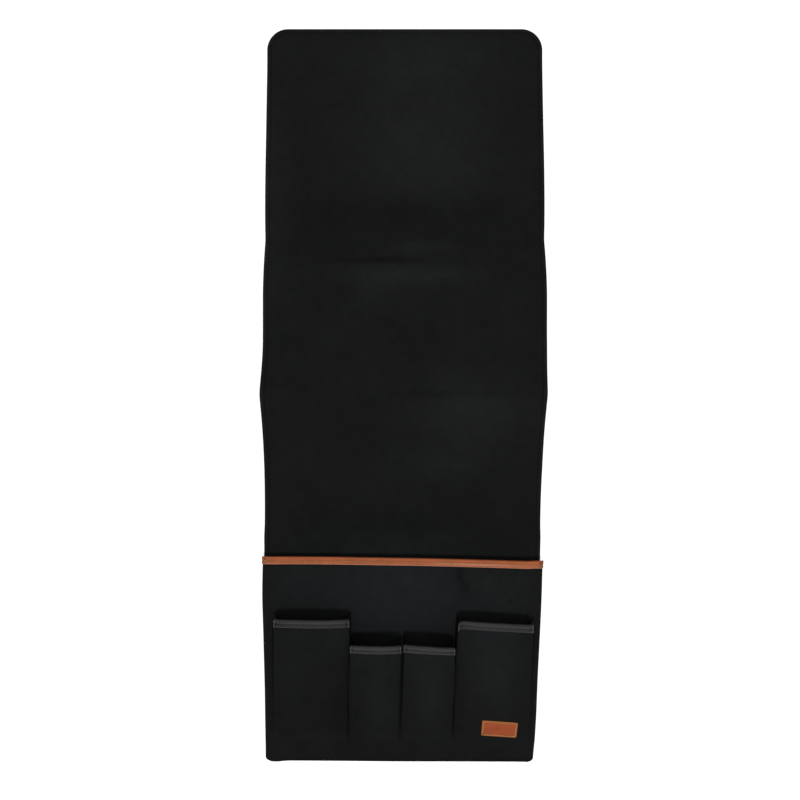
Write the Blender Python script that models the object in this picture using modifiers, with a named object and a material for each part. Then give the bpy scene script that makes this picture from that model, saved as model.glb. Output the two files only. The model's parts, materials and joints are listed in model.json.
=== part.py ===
"""Sofa armrest organizer, lying open on the floor with its pockets facing up.

A long fabric panel has four sections joined by three soft folds: the pocket section, which
hangs outside the sofa's arm, the arm top, the inner drop and the tuck flap that goes under
the seat cushion. The pocket section carries one large pocket, and the front of that pocket
carries two tall and two short pockets with pleated side gussets. Every pocket mouth has a
folded binding.

Metres, +Z up. +X is the right of the panel, +Y runs from the pockets to the tuck flap.
The origin is on the floor under the middle of the panel.
"""

import math

import bmesh
import bpy
import numpy as np

# Panel, from the pocket end to the tuck flap's end
PANEL_WIDTH = 0.340
POCKET_SECTION = 0.2635
ARM_TOP = 0.1915
INNER_DROP = 0.1885
TUCK_FLAP = 0.2635
FLAP_CORNER_RADIUS = 0.022
POCKET_CORNER_RADIUS = 0.005
RIGHT_DRAW_IN = 0.009

# Layers of the panel, from the floor up, with the clearance left between touching pieces
GAP = 0.0003
BACKING = 0.0008
CORE = 0.0012
FACE = 0.0008
CORE_MARGIN = 0.004
CORE_FOLD_MARGIN = 0.010
CORE_LIFT = BACKING + GAP
FACE_LIFT = CORE_LIFT + CORE + GAP
STACK = FACE_LIFT + FACE

# Height of the panel's underside over the floor, as the packing folds leave it
RIDGE_HEIGHT = 0.0475
ARM_TOP_POWER = 2.25
CREASE_LIFT = 0.003
CREASE_LIFT_LENGTH = 0.030
PLATEAU_HEIGHT = 0.0345
PLATEAU_START = 0.080
CURL_START = 0.1185
CURL_POWER = 1.6
VALLEY_HEIGHT = 0.013
HUMP_HEIGHT = 0.018
HUMP_LENGTH = 0.225
HUMP_POWER = 1.5
VALLEY_LENGTH = 0.020
VALLEY_AXIS_LIFT = 0.0004

# Large pocket
LARGE_THICKNESS = 0.0014
LARGE_SEAM = 0.0045
LARGE_HEIGHT = 0.2506
LARGE_DEPTH = 0.0125
LARGE_EXTRA_DEPTH = 0.003
LARGE_SLOPE_POWER = 1.15
LARGE_MOUTH_SAG = 0.0062
LARGE_GUSSET_FOLD = 0.012

# Small pockets on the large one
SMALL_THICKNESS = 0.0012
SMALL_BOTTOM = 0.0295
SMALL_SPACING = 0.004
BELLY_SHARE = 0.06
BELLY_LENGTH = 0.06
TALL = {"width": 0.088, "height": 0.1545, "depth": 0.033, "crown": 0.004}
SHORT = {"width": 0.060, "height": 0.127, "depth": 0.041, "crown": 0.003}
SMALL_POCKETS = (
    ("tall_left", TALL, 0.0),
    ("short_left", SHORT, 0.0),
    ("short_right", SHORT, 0.0015),
    ("tall_right", TALL, 0.006),
)
SMALL_GUSSET_FOLD = 0.32
SMALL_LEAN = 0.005

# Gussets and bindings
GUSSET_THICKNESS = 0.0006
GUSSET_CLEARANCE = 0.0006
GUSSET_SIDE = 0.0012
GUSSET_BASE = 0.0012
OUTER_GUSSET_BASE = 0.006
GUSSET_LEAST = 0.002
GUSSET_FRONT_DROP = 0.0112
GUSSET_BACK_DROP = 0.004
GUSSET_BEND = 1.3
BINDING_THICKNESS = 0.0008
BINDING_LEG = 0.0084

# Blank label on the right tall pocket
LABEL_WIDTH = 0.043
LABEL_HEIGHT = 0.020
LABEL_THICKNESS = 0.0010
LABEL_CORNER = 0.0008
LABEL_CENTRE = (0.1176, -0.4085)
LABEL_TURN = math.radians(-4.5)

# Mesh density
ARM_ROWS = 24
ARM_ROW_GRADING = 1.6
DROP_ROWS = 22
FLAP_ROWS = 20
FLAP_ROW_GRADING = 1.3
PANEL_COLUMNS = 2
CORNER_STEPS = 5
LARGE_ROWS = 14
LARGE_COLUMNS = 14
SMALL_ROWS = 13
SMALL_COLUMNS = 10
GUSSET_ROWS = 10
GUSSET_COLUMNS = 6
BINDING_ARC_STEPS = 4
LABEL_COLUMNS = 4

# Where the folds and pockets lie
PANEL_LENGTH = POCKET_SECTION + ARM_TOP + INNER_DROP + TUCK_FLAP
POCKET_END = -PANEL_LENGTH / 2
MOUTH_FOLD = POCKET_END + POCKET_SECTION
RIDGE_FOLD = MOUTH_FOLD + ARM_TOP
VALLEY_FOLD = RIDGE_FOLD + INNER_DROP
FLAP_END = VALLEY_FOLD + TUCK_FLAP
HALF_WIDTH = PANEL_WIDTH / 2
LARGE_BOTTOM_Y = POCKET_END + LARGE_SEAM
SMALL_BOTTOM_Y = POCKET_END + SMALL_BOTTOM
SMALL_RIGHT = TALL["width"] + SHORT["width"] + 1.5 * SMALL_SPACING
POCKET_FLOOR = STACK + GAP

COLOURS = {
    "black_fabric": ((0.0100, 0.0104, 0.0108), 0.88),
    "grip_backing": ((0.0060, 0.0060, 0.0062), 0.80),
    "felt_core": ((0.060, 0.060, 0.058), 0.95),
    "stiffener_board": ((0.020, 0.020, 0.020), 0.50),
    "tan_leather": ((0.305, 0.094, 0.042), 0.45),
    "grey_leather": ((0.036, 0.036, 0.038), 0.48),
}


def clear_scene():
    for obj in list(bpy.data.objects):
        bpy.data.objects.remove(obj, do_unlink=True)


def material(name):
    colour, roughness = COLOURS[name]
    found = bpy.data.materials.get(name)
    if found:
        return found
    made = bpy.data.materials.new(name)
    made.use_nodes = True
    shader = made.node_tree.nodes["Principled BSDF"]
    shader.inputs["Base Color"].default_value = (*colour, 1.0)
    shader.inputs["Roughness"].default_value = roughness
    shader.inputs["Metallic"].default_value = 0.0
    return made


def hinge_empty(collection, name, position, parent=None):
    """An empty on a joint's axis. What moves with the joint is parented to it."""
    empty = bpy.data.objects.new(name, None)
    empty.empty_display_size = 0.03
    collection.objects.link(empty)
    empty.parent = parent
    origin = np.array(parent["world"]) if parent else np.zeros(3)
    empty.location = np.array(position) - origin
    empty["world"] = [float(value) for value in position]
    return empty


def surface(collection, name, points, thickness, finish, hinge=None, offset=1.0):
    """A shell from a grid of points, rows by columns, thickened along its normals."""
    rows, columns = points.shape[:2]
    mesh = bpy.data.meshes.new(name)
    build = bmesh.new()
    bmesh.ops.create_grid(build, x_segments=columns - 1, y_segments=rows - 1, size=1.0)
    origin = np.array(hinge["world"]) if hinge else np.zeros(3)
    for vertex in build.verts:
        column = round((vertex.co.x + 1) / 2 * (columns - 1))
        row = round((vertex.co.y + 1) / 2 * (rows - 1))
        vertex.co = points[row, column] - origin
    build.to_mesh(mesh)
    build.free()
    mesh.shade_smooth()
    mesh.materials.append(material(finish))
    obj = bpy.data.objects.new(name, mesh)
    obj.parent = hinge
    collection.objects.link(obj)
    shell = obj.modifiers.new("thickness", "SOLIDIFY")
    shell.thickness = thickness
    shell.offset = offset
    shell.use_even_offset = True
    return obj


def corner_inset(distance, radius):
    """How far a side edge lies in from its line, at a distance from the end with round corners."""
    into = np.clip(radius - distance, 0, radius)
    return radius - np.sqrt(radius**2 - into**2)


def left_edge(y):
    at_flap = corner_inset(FLAP_END - y, FLAP_CORNER_RADIUS)
    at_pockets = corner_inset(y - POCKET_END, POCKET_CORNER_RADIUS)
    return -HALF_WIDTH + at_flap + at_pockets


def right_edge(y):
    """The mirror of the left edge, drawn in towards the lower right corner."""
    drawn = RIGHT_DRAW_IN * np.clip((MOUTH_FOLD - y) / POCKET_SECTION, 0, 1)
    return -left_edge(y) - drawn


def corner_rows(end, radius, inward):
    """Rows through a round corner, evenly turned. inward is +1 at the low end, -1 at the high."""
    turns = np.linspace(0, math.pi / 2, CORNER_STEPS + 1)
    return end + inward * radius * (1 - np.sin(turns))


def arm_top_height(y):
    """A power curve from the floor at the mouth fold to the ridge, with a low lift by the fold."""
    share = np.clip((y - MOUTH_FOLD) / ARM_TOP, 0, 1)
    by_fold = np.clip((y - MOUTH_FOLD) / CREASE_LIFT_LENGTH, 0, 1)
    return RIDGE_HEIGHT * share**ARM_TOP_POWER + CREASE_LIFT * np.sin(math.pi * by_fold) ** 2


def inner_drop_height(y):
    """A quick fall from the ridge to a plateau, then a curl down to the valley."""
    along = y - RIDGE_FOLD
    fall = (RIDGE_HEIGHT - PLATEAU_HEIGHT) * np.clip(1 - along / PLATEAU_START, 0, 1) ** 2
    curl = np.clip((along - CURL_START) / (INNER_DROP - CURL_START), 0, 1) ** CURL_POWER
    return PLATEAU_HEIGHT + fall - (PLATEAU_HEIGHT - VALLEY_HEIGHT) * curl


def tuck_flap_height(y):
    """A long low hump that ends flat on the floor, dipped beside the valley."""
    along = y - VALLEY_FOLD
    hump = HUMP_HEIGHT * np.clip(1 - (along / HUMP_LENGTH) ** 2, 0, 1) ** HUMP_POWER
    dip = (HUMP_HEIGHT - VALLEY_HEIGHT) * np.exp(-along / VALLEY_LENGTH)
    return np.clip(hump - dip, 0, None)


def flat_height(y):
    return np.zeros_like(y)


def graded_rows(start, end, count, grading):
    """Rows from start to end, closer together near the start, where the panel bends most."""
    return start + (end - start) * np.linspace(0, 1, count + 1) ** grading


def slope_of(height, y):
    step = 0.0002
    return (height(y + step) - height(y - step)) / (2 * step)


def layer_points(y, height, lift, margin):
    """Rows of the panel's outline, lifted square to the underside by lift."""
    slope = slope_of(height, y)
    length = np.sqrt(1 + slope**2)
    left = left_edge(y) + margin
    right = right_edge(y) - margin
    across = np.linspace(0, 1, PANEL_COLUMNS + 1)
    x = left[:, None] + (right - left)[:, None] * across
    lifted_y = (y - slope / length * lift)[:, None] + 0 * x
    lifted_z = (height(y) + lift / length)[:, None] + 0 * x
    return np.stack([x, lifted_y, lifted_z], axis=2)


def core_rows(y):
    """The section's rows, cut short of its ends: more at a fold, so that the panel bends there."""
    low = CORE_MARGIN if y[0] < POCKET_END + GAP else CORE_FOLD_MARGIN
    high = CORE_MARGIN if y[-1] > FLAP_END - GAP else CORE_FOLD_MARGIN
    return np.unique(np.clip(y, y[0] + low, y[-1] - high))


def panel_section(collection, name, y, height, core_name, core_finish, hinge=None):
    """Backing, core and face of one section of the panel."""
    surface(
        collection,
        name + "_backing",
        layer_points(y, height, 0.0, 0.0),
        BACKING,
        "grip_backing",
        hinge,
    )
    surface(
        collection,
        core_name,
        layer_points(core_rows(y), height, CORE_LIFT, CORE_MARGIN),
        CORE,
        core_finish,
        hinge,
    )
    surface(
        collection,
        name + "_face",
        layer_points(y, height, FACE_LIFT, 0.0),
        FACE,
        "black_fabric",
        hinge,
    )


def valley_setback(slope):
    """How far a section's underside stops short of the valley, so that its top edge ends there."""
    return STACK * abs(math.sin(math.atan(slope))) + GAP / 2


def make_panel(collection):
    """The four sections, and an empty on the axis of each fold between them."""
    fold_a = hinge_empty(collection, "mouth_fold", (0, MOUTH_FOLD, 0))
    fold_b = hinge_empty(collection, "ridge_fold", (0, RIDGE_FOLD, RIDGE_HEIGHT), fold_a)
    valley_axis = (0, VALLEY_FOLD, VALLEY_HEIGHT + STACK + VALLEY_AXIS_LIFT)
    fold_c = hinge_empty(collection, "valley_fold", valley_axis, fold_b)

    low_corner = corner_rows(POCKET_END, POCKET_CORNER_RADIUS, 1)
    pocket_y = np.unique(np.append(low_corner, MOUTH_FOLD - GAP / 2))
    panel_section(
        collection, "pocket_section", pocket_y, flat_height,
        "pocket_section_board", "stiffener_board",
    )

    arm_start = MOUTH_FOLD + GAP / 2
    arm_y = graded_rows(arm_start, RIDGE_FOLD - GAP / 2, ARM_ROWS, ARM_ROW_GRADING)
    panel_section(
        collection, "arm_top", arm_y, arm_top_height,
        "arm_top_interlining", "felt_core", fold_a,
    )

    curl_slope = slope_of(inner_drop_height, VALLEY_FOLD - 0.001)
    drop_end = VALLEY_FOLD - valley_setback(curl_slope)
    drop_y = np.linspace(RIDGE_FOLD + GAP / 2, drop_end, DROP_ROWS + 1)
    panel_section(
        collection, "inner_drop", drop_y, inner_drop_height,
        "inner_drop_interlining", "felt_core", fold_b,
    )

    dip_slope = slope_of(tuck_flap_height, VALLEY_FOLD + 0.001)
    flap_start = VALLEY_FOLD + valley_setback(dip_slope)
    flap_y = graded_rows(
        flap_start, FLAP_END - FLAP_CORNER_RADIUS, FLAP_ROWS, FLAP_ROW_GRADING
    )
    high_corner = corner_rows(FLAP_END, FLAP_CORNER_RADIUS, -1)
    flap_y = np.unique(np.concatenate([flap_y[:-1], high_corner]))
    panel_section(
        collection, "tuck_flap", flap_y, tuck_flap_height,
        "tuck_flap_interlining", "felt_core", fold_c,
    )


def share_across(x):
    return (x + HALF_WIDTH) / PANEL_WIDTH


def large_mouth_y(x):
    """The large pocket's mouth edge, which sags towards the right."""
    return LARGE_BOTTOM_Y + LARGE_HEIGHT - LARGE_MOUTH_SAG * share_across(x) ** 2


def large_under(x, y):
    """Underside of the large pocket's front: a wedge that opens towards the mouth."""
    share = np.clip((y - LARGE_BOTTOM_Y) / (large_mouth_y(x) - LARGE_BOTTOM_Y), 0, None)
    depth = LARGE_DEPTH + LARGE_EXTRA_DEPTH * share_across(x) ** 2
    return POCKET_FLOOR + depth * share**LARGE_SLOPE_POWER


def large_over(x, y):
    return large_under(x, y) + LARGE_THICKNESS


def large_front_points():
    share = np.linspace(0, 1, LARGE_ROWS + 1)[:, None]
    across = np.linspace(0, 1, LARGE_COLUMNS + 1)[None, :]
    middle_x = -HALF_WIDTH + PANEL_WIDTH * across + 0 * share
    y = LARGE_BOTTOM_Y + share * (large_mouth_y(middle_x) - LARGE_BOTTOM_Y)
    x = left_edge(y) + (right_edge(y) - left_edge(y)) * across
    return np.stack([x, y, large_under(x, y)], axis=2)


def mouth_binding_points(front, thickness):
    """A strip folded over a front's mouth edge, in the plane across each column's end.

    Its path goes up the outside leg, round the edge in a half circle and down the inside leg.
    """
    edge = front[-1]
    toward = front[-1] - front[-2]
    toward[:, 0] = 0
    toward /= np.linalg.norm(toward, axis=1)[:, None]
    upward = np.stack([0 * toward[:, 0], -toward[:, 2], toward[:, 1]], axis=1)
    radius = thickness / 2 + GAP
    turns = np.linspace(math.pi / 2, -math.pi / 2, BINDING_ARC_STEPS + 1)
    along = np.concatenate([[-BINDING_LEG], radius * np.cos(turns), [-BINDING_LEG]])
    over = np.concatenate([[thickness + GAP], thickness / 2 + radius * np.sin(turns), [-GAP]])
    return (
        edge[None, :, :]
        + along[:, None, None] * toward[None, :, :]
        + over[:, None, None] * upward[None, :, :]
    )


def gusset_points(side_x, inward, low, high, start_y, mouth_y, fold_share, spread_share=0.0):
    """A pleated side wall between two surfaces, folded inward along its middle.

    low and high give the heights that it spans. Its fold goes in by fold_share of the height,
    and its lower edge stands out past its upper one by spread_share of it. Its mouth end
    slants: it reaches higher at the back than at the front.
    """
    along = np.linspace(0, 1, GUSSET_ROWS + 1)[:, None]
    up = np.linspace(0, 1, GUSSET_COLUMNS + 1)[None, :]
    end_drop = GUSSET_BACK_DROP + (GUSSET_FRONT_DROP - GUSSET_BACK_DROP) * up
    y = start_y + along * (mouth_y - end_drop - start_y)
    edge_x = side_x(y)
    bottom = low(edge_x, y) + GUSSET_CLEARANCE
    top = high(edge_x, y) - GUSSET_CLEARANCE
    tall = top - bottom
    fold = 1 - np.abs(2 * up - 1) ** GUSSET_BEND
    x = edge_x + inward * tall * (fold_share * fold - spread_share * (1 - up))
    z = bottom + tall * up
    points = np.stack([x, y, z], axis=2)
    return points if inward < 0 else points[:, ::-1]


def make_large_pocket(collection):
    seam = hinge_empty(collection, "large_pocket_seam", (0, LARGE_BOTTOM_Y, POCKET_FLOOR))
    front = large_front_points()
    surface(
        collection, "large_pocket_front", front, LARGE_THICKNESS, "black_fabric", seam
    )
    surface(
        collection,
        "large_pocket_binding",
        mouth_binding_points(front, LARGE_THICKNESS),
        BINDING_THICKNESS,
        "tan_leather",
        seam,
    )
    start_share = (GUSSET_LEAST / LARGE_DEPTH) ** (1 / LARGE_SLOPE_POWER)
    start_y = LARGE_BOTTOM_Y + LARGE_HEIGHT * start_share + 0.02
    for side, edge, inward in (("left", left_edge, 1), ("right", right_edge, -1)):
        wall = gusset_points(
            lambda y: edge(y) + inward * GUSSET_SIDE,
            inward,
            lambda x, y: STACK + 0 * y,
            large_under,
            start_y,
            large_mouth_y(-inward * HALF_WIDTH),
            LARGE_GUSSET_FOLD / LARGE_DEPTH,
        )
        surface(
            collection,
            "large_pocket_gusset_" + side,
            wall,
            GUSSET_THICKNESS,
            "black_fabric",
            offset=0.0,
        )
    return seam


def lean(x, y):
    """How far a small pocket's side lies left of x: nothing at the mouth, more at the foot."""
    up = np.clip((y - SMALL_BOTTOM_Y) / TALL["height"], 0, 1)
    from_right = (SMALL_RIGHT - x) / (2 * SMALL_RIGHT)
    return SMALL_LEAN * (1 - up) * from_right


def small_mouth_y(pocket, x):
    across = (x - pocket["left"]) / pocket["width"]
    return SMALL_BOTTOM_Y + pocket["height"] - pocket["drop"] * across


def small_under(pocket, x, y):
    """Underside of a small pocket's front: a round belly at the bottom, then an even slope."""
    share = np.clip((y - SMALL_BOTTOM_Y) / (small_mouth_y(pocket, x) - SMALL_BOTTOM_Y), 0, None)
    belly = BELLY_SHARE * (1 - np.exp(-share / BELLY_LENGTH))
    across = 2 * (x - pocket["left"]) / pocket["width"] - 1
    crown = pocket["crown"] * share * (1 - across**2)
    rise = pocket["depth"] * (belly + (1 - BELLY_SHARE) * share) + crown
    return large_over(x, y) + GAP + rise


def small_front_points(pocket):
    share = (np.linspace(0, 1, SMALL_ROWS + 1) ** 1.5)[:, None]
    across = np.linspace(0, 1, SMALL_COLUMNS + 1)[None, :]
    x = pocket["left"] + pocket["width"] * across + 0 * share
    y = SMALL_BOTTOM_Y + share * (small_mouth_y(pocket, x) - SMALL_BOTTOM_Y)
    return np.stack([x - lean(x, y), y, small_under(pocket, x, y)], axis=2)


def make_small_pocket(collection, pocket, large_seam):
    """One pleated pocket: its front, its mouth binding and its two gussets."""
    middle = pocket["left"] + pocket["width"] / 2
    seam_z = float(large_over(middle, SMALL_BOTTOM_Y)) + GAP
    seam = hinge_empty(
        collection, pocket["name"] + "_seam", (middle, SMALL_BOTTOM_Y, seam_z), large_seam
    )
    front = small_front_points(pocket)
    surface(
        collection, pocket["name"] + "_pocket_front", front, SMALL_THICKNESS,
        "black_fabric", seam,
    )
    surface(
        collection,
        pocket["name"] + "_pocket_binding",
        mouth_binding_points(front, SMALL_THICKNESS),
        BINDING_THICKNESS,
        "grey_leather",
        seam,
    )
    right = pocket["left"] + pocket["width"]
    for side, edge_x, inward in (("left", pocket["left"], 1), ("right", right, -1)):
        outer = math.isclose(abs(edge_x), SMALL_RIGHT)
        base = (OUTER_GUSSET_BASE if outer else GUSSET_BASE) + GUSSET_SIDE
        wall = gusset_points(
            lambda y: edge_x + inward * GUSSET_SIDE - lean(edge_x, y),
            inward,
            large_over,
            lambda x, y: small_under(pocket, x + lean(x, y), y),
            SMALL_BOTTOM_Y + GUSSET_LEAST,
            small_mouth_y(pocket, edge_x),
            SMALL_GUSSET_FOLD,
            base / pocket["depth"],
        )
        surface(
            collection,
            pocket["name"] + "_pocket_gusset_" + side,
            wall,
            GUSSET_THICKNESS,
            "black_fabric",
            large_seam,
            offset=0.0,
        )
    return seam


def make_label(collection, pocket, seam):
    """A blank stitched label that follows the pocket front's curve."""
    half = LABEL_HEIGHT / 2
    turns = np.linspace(0, math.pi / 2, CORNER_STEPS + 1)
    reach = half - LABEL_CORNER * (1 - np.sin(turns))
    up = np.unique(np.concatenate([-reach, [0.0], reach]))[:, None]
    across = np.linspace(-1, 1, LABEL_COLUMNS + 1)[None, :]
    half_width = LABEL_WIDTH / 2 - corner_inset(half - np.abs(up), LABEL_CORNER)
    flat_x = half_width * across
    x = LABEL_CENTRE[0] + flat_x * math.cos(LABEL_TURN) - up * math.sin(LABEL_TURN)
    y = LABEL_CENTRE[1] + flat_x * math.sin(LABEL_TURN) + up * math.cos(LABEL_TURN)
    lift = 0.0003 + SMALL_THICKNESS
    under = small_under(pocket, x, y)
    slope = (small_under(pocket, x, y + lift) - under) / lift
    length = np.sqrt(1 + slope**2)
    points = np.stack([x, y - slope / length * lift, under + lift / length], axis=2)
    surface(collection, "pocket_label", points, LABEL_THICKNESS, "tan_leather", seam)


def make_small_pockets(collection, large_seam):
    left = -SMALL_RIGHT
    for name, kind, drop in SMALL_POCKETS:
        pocket = dict(kind, name=name, left=left, drop=drop)
        seam = make_small_pocket(collection, pocket, large_seam)
        left += kind["width"] + SMALL_SPACING
    make_label(collection, pocket, seam)


def main():
    clear_scene()
    collection = bpy.data.collections.new("sofa_armrest_organizer")
    bpy.context.scene.collection.children.link(collection)
    make_panel(collection)
    large_seam = make_large_pocket(collection)
    make_small_pockets(collection, large_seam)


main()
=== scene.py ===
"""Sofa armrest organizer: its cloth, leather trim, stitching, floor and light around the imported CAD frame.

The organizer lies open on a pale floor with its pockets facing up. A long black cloth panel has a
turned and topstitched edge. The pocket section at its lower end carries one large pocket with a
tan binding, and on that pocket's front stand two tall and two short pockets with grey bindings
and pleated side walls. A blank tan label is sewn to the right tall pocket.

Metres, +Z up, +X to the right of the panel, +Y from the pockets to the tuck flap. Every new piece
is a surface worked out with numpy as a function of two parameters on a grid.
"""

import json
import math
from collections import namedtuple

import bpy
import numpy as np
from mathutils import Matrix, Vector
from bpy.props import FloatProperty, FloatVectorProperty, PointerProperty
from bpy.types import Operator, Panel, PropertyGroup


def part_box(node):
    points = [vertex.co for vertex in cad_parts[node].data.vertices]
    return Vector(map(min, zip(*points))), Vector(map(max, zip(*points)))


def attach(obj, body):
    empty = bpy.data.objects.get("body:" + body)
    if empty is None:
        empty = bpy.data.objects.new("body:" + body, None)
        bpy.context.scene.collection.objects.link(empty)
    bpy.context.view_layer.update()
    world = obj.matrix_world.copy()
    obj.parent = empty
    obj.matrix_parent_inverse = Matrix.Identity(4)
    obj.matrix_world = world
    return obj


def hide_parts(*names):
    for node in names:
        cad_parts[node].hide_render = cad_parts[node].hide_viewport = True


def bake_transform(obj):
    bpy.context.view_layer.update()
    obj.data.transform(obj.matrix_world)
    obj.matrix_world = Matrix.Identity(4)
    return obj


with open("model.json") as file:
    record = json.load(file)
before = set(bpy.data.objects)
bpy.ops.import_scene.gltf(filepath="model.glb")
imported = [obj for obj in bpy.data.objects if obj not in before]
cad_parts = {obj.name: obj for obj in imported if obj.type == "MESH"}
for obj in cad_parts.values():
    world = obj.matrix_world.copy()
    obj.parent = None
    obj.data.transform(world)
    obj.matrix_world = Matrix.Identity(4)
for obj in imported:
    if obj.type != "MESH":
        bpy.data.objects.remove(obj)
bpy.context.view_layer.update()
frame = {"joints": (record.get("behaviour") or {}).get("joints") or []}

bl_info = {
    "name": "Sofa Armrest Organizer",
    "version": (1, 0, 0),
    "blender": (4, 5, 0),
    "location": "View3D > Sidebar > Organizer",
    "description": "Builds the cloth, leather trim and stitching of a sofa armrest organizer",
    "category": "Add Mesh",
}

JOINTS = {joint["name"]: joint["pos_m"] for joint in frame["joints"]}
MM = 0.001

# Panel, as the CAD nodes and joints place it
HALF_WIDTH = -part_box("arm_top_backing")[0].x
POCKET_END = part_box("pocket_section_backing")[0].y
FLAP_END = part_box("tuck_flap_backing")[1].y
MOUTH_FOLD = JOINTS["mouth_fold"][1]
RIDGE_FOLD, RIDGE_HEIGHT = JOINTS["ridge_fold"][1:]
VALLEY_FOLD = JOINTS["valley_fold"][1]
FLAP_CORNER = 0.026
POCKET_CORNER = 0.005
RIGHT_DRAW_IN = 0.009
STACK = 0.0034
BACKING = 0.0008
FACE = 0.0008
CORE = 0.0012
CORE_MIDDLE = 0.0017
CORE_INSET = 0.012
CORE_GAP = 0.010

# The panel's underside, section by section
CREASE_LIFT = 0.003
CREASE_LIFT_LENGTH = 0.030
ARM_TOP_POWER = 2.25
PLATEAU_HEIGHT = 0.0345
PLATEAU_START = 0.080
CURL_START = 0.1185
CURL_POWER = 1.6
VALLEY_HEIGHT = 0.013
HUMP_HEIGHT = 0.018
HUMP_LENGTH = 0.225
HUMP_POWER = 1.5
VALLEY_LENGTH = 0.020

# The panel's turned edge
RIM_RADIUS = 0.0010
RIM_INSET = RIM_RADIUS + FACE / 2
RIM_LENGTH = math.pi * RIM_RADIUS + 0.0008
TOP_LIFT = STACK - FACE / 2
SEAM_LIFT = 0.0022
EDGE_LIFT = BACKING / 2 + 2 * RIM_RADIUS

# Where the panel's three pieces meet, and each piece's name, the two CAD bodies it hides and the fold within
# it
SPLITS = ((MOUTH_FOLD + RIDGE_FOLD) / 2, (RIDGE_FOLD + VALLEY_FOLD) / 2)
PANEL_PIECES = (
    ("pocket", ("pocket_section", "arm_top"), MOUTH_FOLD),
    ("arm", ("arm_top", "inner_drop"), RIDGE_FOLD),
    ("flap", ("inner_drop", "tuck_flap"), VALLEY_FOLD),
)

# Large pocket
POCKET_FLOOR = 0.0037
LARGE_BOTTOM = JOINTS["large_pocket_mouth"][1]
LARGE_HEIGHT = 0.2506
LARGE_DEPTH = 0.0125
LARGE_EXTRA_DEPTH = 0.003
LARGE_SLOPE_POWER = 1.15
LARGE_SAG = 0.0060
LARGE_THICKNESS = 0.0014
LARGE_FOLD = 0.012
LARGE_SEAM = -0.0005

# Small pockets
SMALL_BOTTOM = JOINTS["tall_left_pocket_mouth"][1]
SMALL_THICKNESS = 0.0012
SMALL_RIGHT = 0.154
SMALL_HEM = 0.005
TALL_HEIGHT = 0.1545
LEAN_PLACES = (-0.154, -0.064, 0.0, 0.064, 0.154)
LEAN_AT_FOOT = (0.0050, 0.0037, 0.0048, 0.0037, 0.0)
SMALL_FOLD = 0.30
SMALL_SLACK = 0.75
BELLY_SHARE = 0.06
BELLY_LENGTH = 0.40
GAP = 0.0003
MOUTH_CORNER = {"tall_right": 0.0045}

# drop is how far a mouth falls to the right, drawn how far the binding draws in the left and right
# side, full how far they bulge half way up, and seed picks the pocket's own waves
Pocket = namedtuple("Pocket", "name left width height depth crown drop drawn full seed")
POCKETS = (
    Pocket("tall_left", -0.154, 0.088, 0.1561, 0.033, 0.004, 0.0, (0.0003, -0.0008), (0, 0.0018), 11),
    Pocket("short_left", -0.062, 0.060, 0.127, 0.041, 0.003, 0.0, (0.0002, 0.0006), (0.0010, 0), 12),
    Pocket("short_right", 0.002, 0.060, 0.1282, 0.041, 0.003, 0.0036, (-0.0002, 0.0010), (0, 0.0008), 13),
    Pocket("tall_right", 0.066, 0.088, 0.1546, 0.033, 0.004, 0.0048, (0.0, 0.0006), (0.0022, 0), 14),
)

# Gussets: drops is how far below the mouth one ends, at its foot and at the front
LARGE_GUSSET_DROPS = (0.004, 0.0112)
SMALL_GUSSET_DROPS = (-0.0025, 0.0112)
LARGE_GUSSET_START = 0.071
SMALL_GUSSET_START = 0.008
GUSSET_CLEARANCE = 0.0004
GUSSET_THICKNESS = 0.0006
GUSSET_SIDE = 0.0012
GUSSET_BASE = 0.0012
OUTER_GUSSET_BASE = 0.006
OUTER_STITCH = (0.0034, 0.0010)

# Bindings. shine is a highlight painted on the tan one near its right end and on the grey
# ones along their upper roll: its place, half width and strength, and how many rows it lies above the seam.
# burnt is how dark the leather's ends are with edge paint, and its fold with painted shade.
# A zigzag bar tack reaches in from one left end.
LEATHER = 0.0008
SEAM_AT = 0.54
PRESS = 0.0011
Binding = namedtuple("Binding", "leg tack past pitch thread shine burnt leather sewing slot")
TAN_BINDING = Binding(
    0.0073, 0.0030, (0.0, 0.0002), 0.0031, 0.0009, (0.262, 0.050, 0.60, -1.5), 0.85,
    "tan_leather_grain", "tan_thread", "tan_leather",
)
GREY_BINDING = Binding(
    0.0080, 0.0027, (0.0002, 0.0002), 0.0030, 0.0007, (0.0, 1.0, 0.42, 3.5), 0.0,
    "grey_leather_grain", "grey_thread", "grey_leather",
)
BAR_TACKS = {"tall_left": 0.0165}

# Steps of the grids, and how each front's hem is divided below and above its foot
FACE_STEP = 0.0032
BACKING_STEP = 0.0055
BACKING_START = 0.0025
CORE_STEP = 0.006
CORE_COLUMNS = 56
SMALL_STEP = 0.0024
SMALL_ROW_STEP = 0.0026
LARGE_ROWS = 82
LARGE_HEM_PLACES = (-4.0, -3.4, -2.7, -2.0, -1.4, -0.8, -0.2, 0.5, 1.2, 2.0, 3.0, 4.2)
SMALL_HEM_PLACES = (-5.0, -4.2, -3.4, -2.6, -1.8, -1.0, -0.3, 0.5, 1.4, 2.4, 3.6)
NORMAL_STEP = 0.0005

# A sheet's rim stands out by this share of its thickness, and a stitch's ends sink by SINK of its thread
RIM_PUSH = 0.42
SINK = 0.35
ARCH = 0.55
SEAM_HIDDEN = 0.020
BINDING_STITCH = 0.68
BINDING_SEAM_START = 0.4

# How far a gusset's edges lie within the cloths they are sewn to, and its foot seam beside it
LARGE_GUSSET_SUNK = (0.0007, 0.0008)
SMALL_GUSSET_SUNK = 0.0005
OUTER_SEAM = (0.0011, 0.0001)

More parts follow.
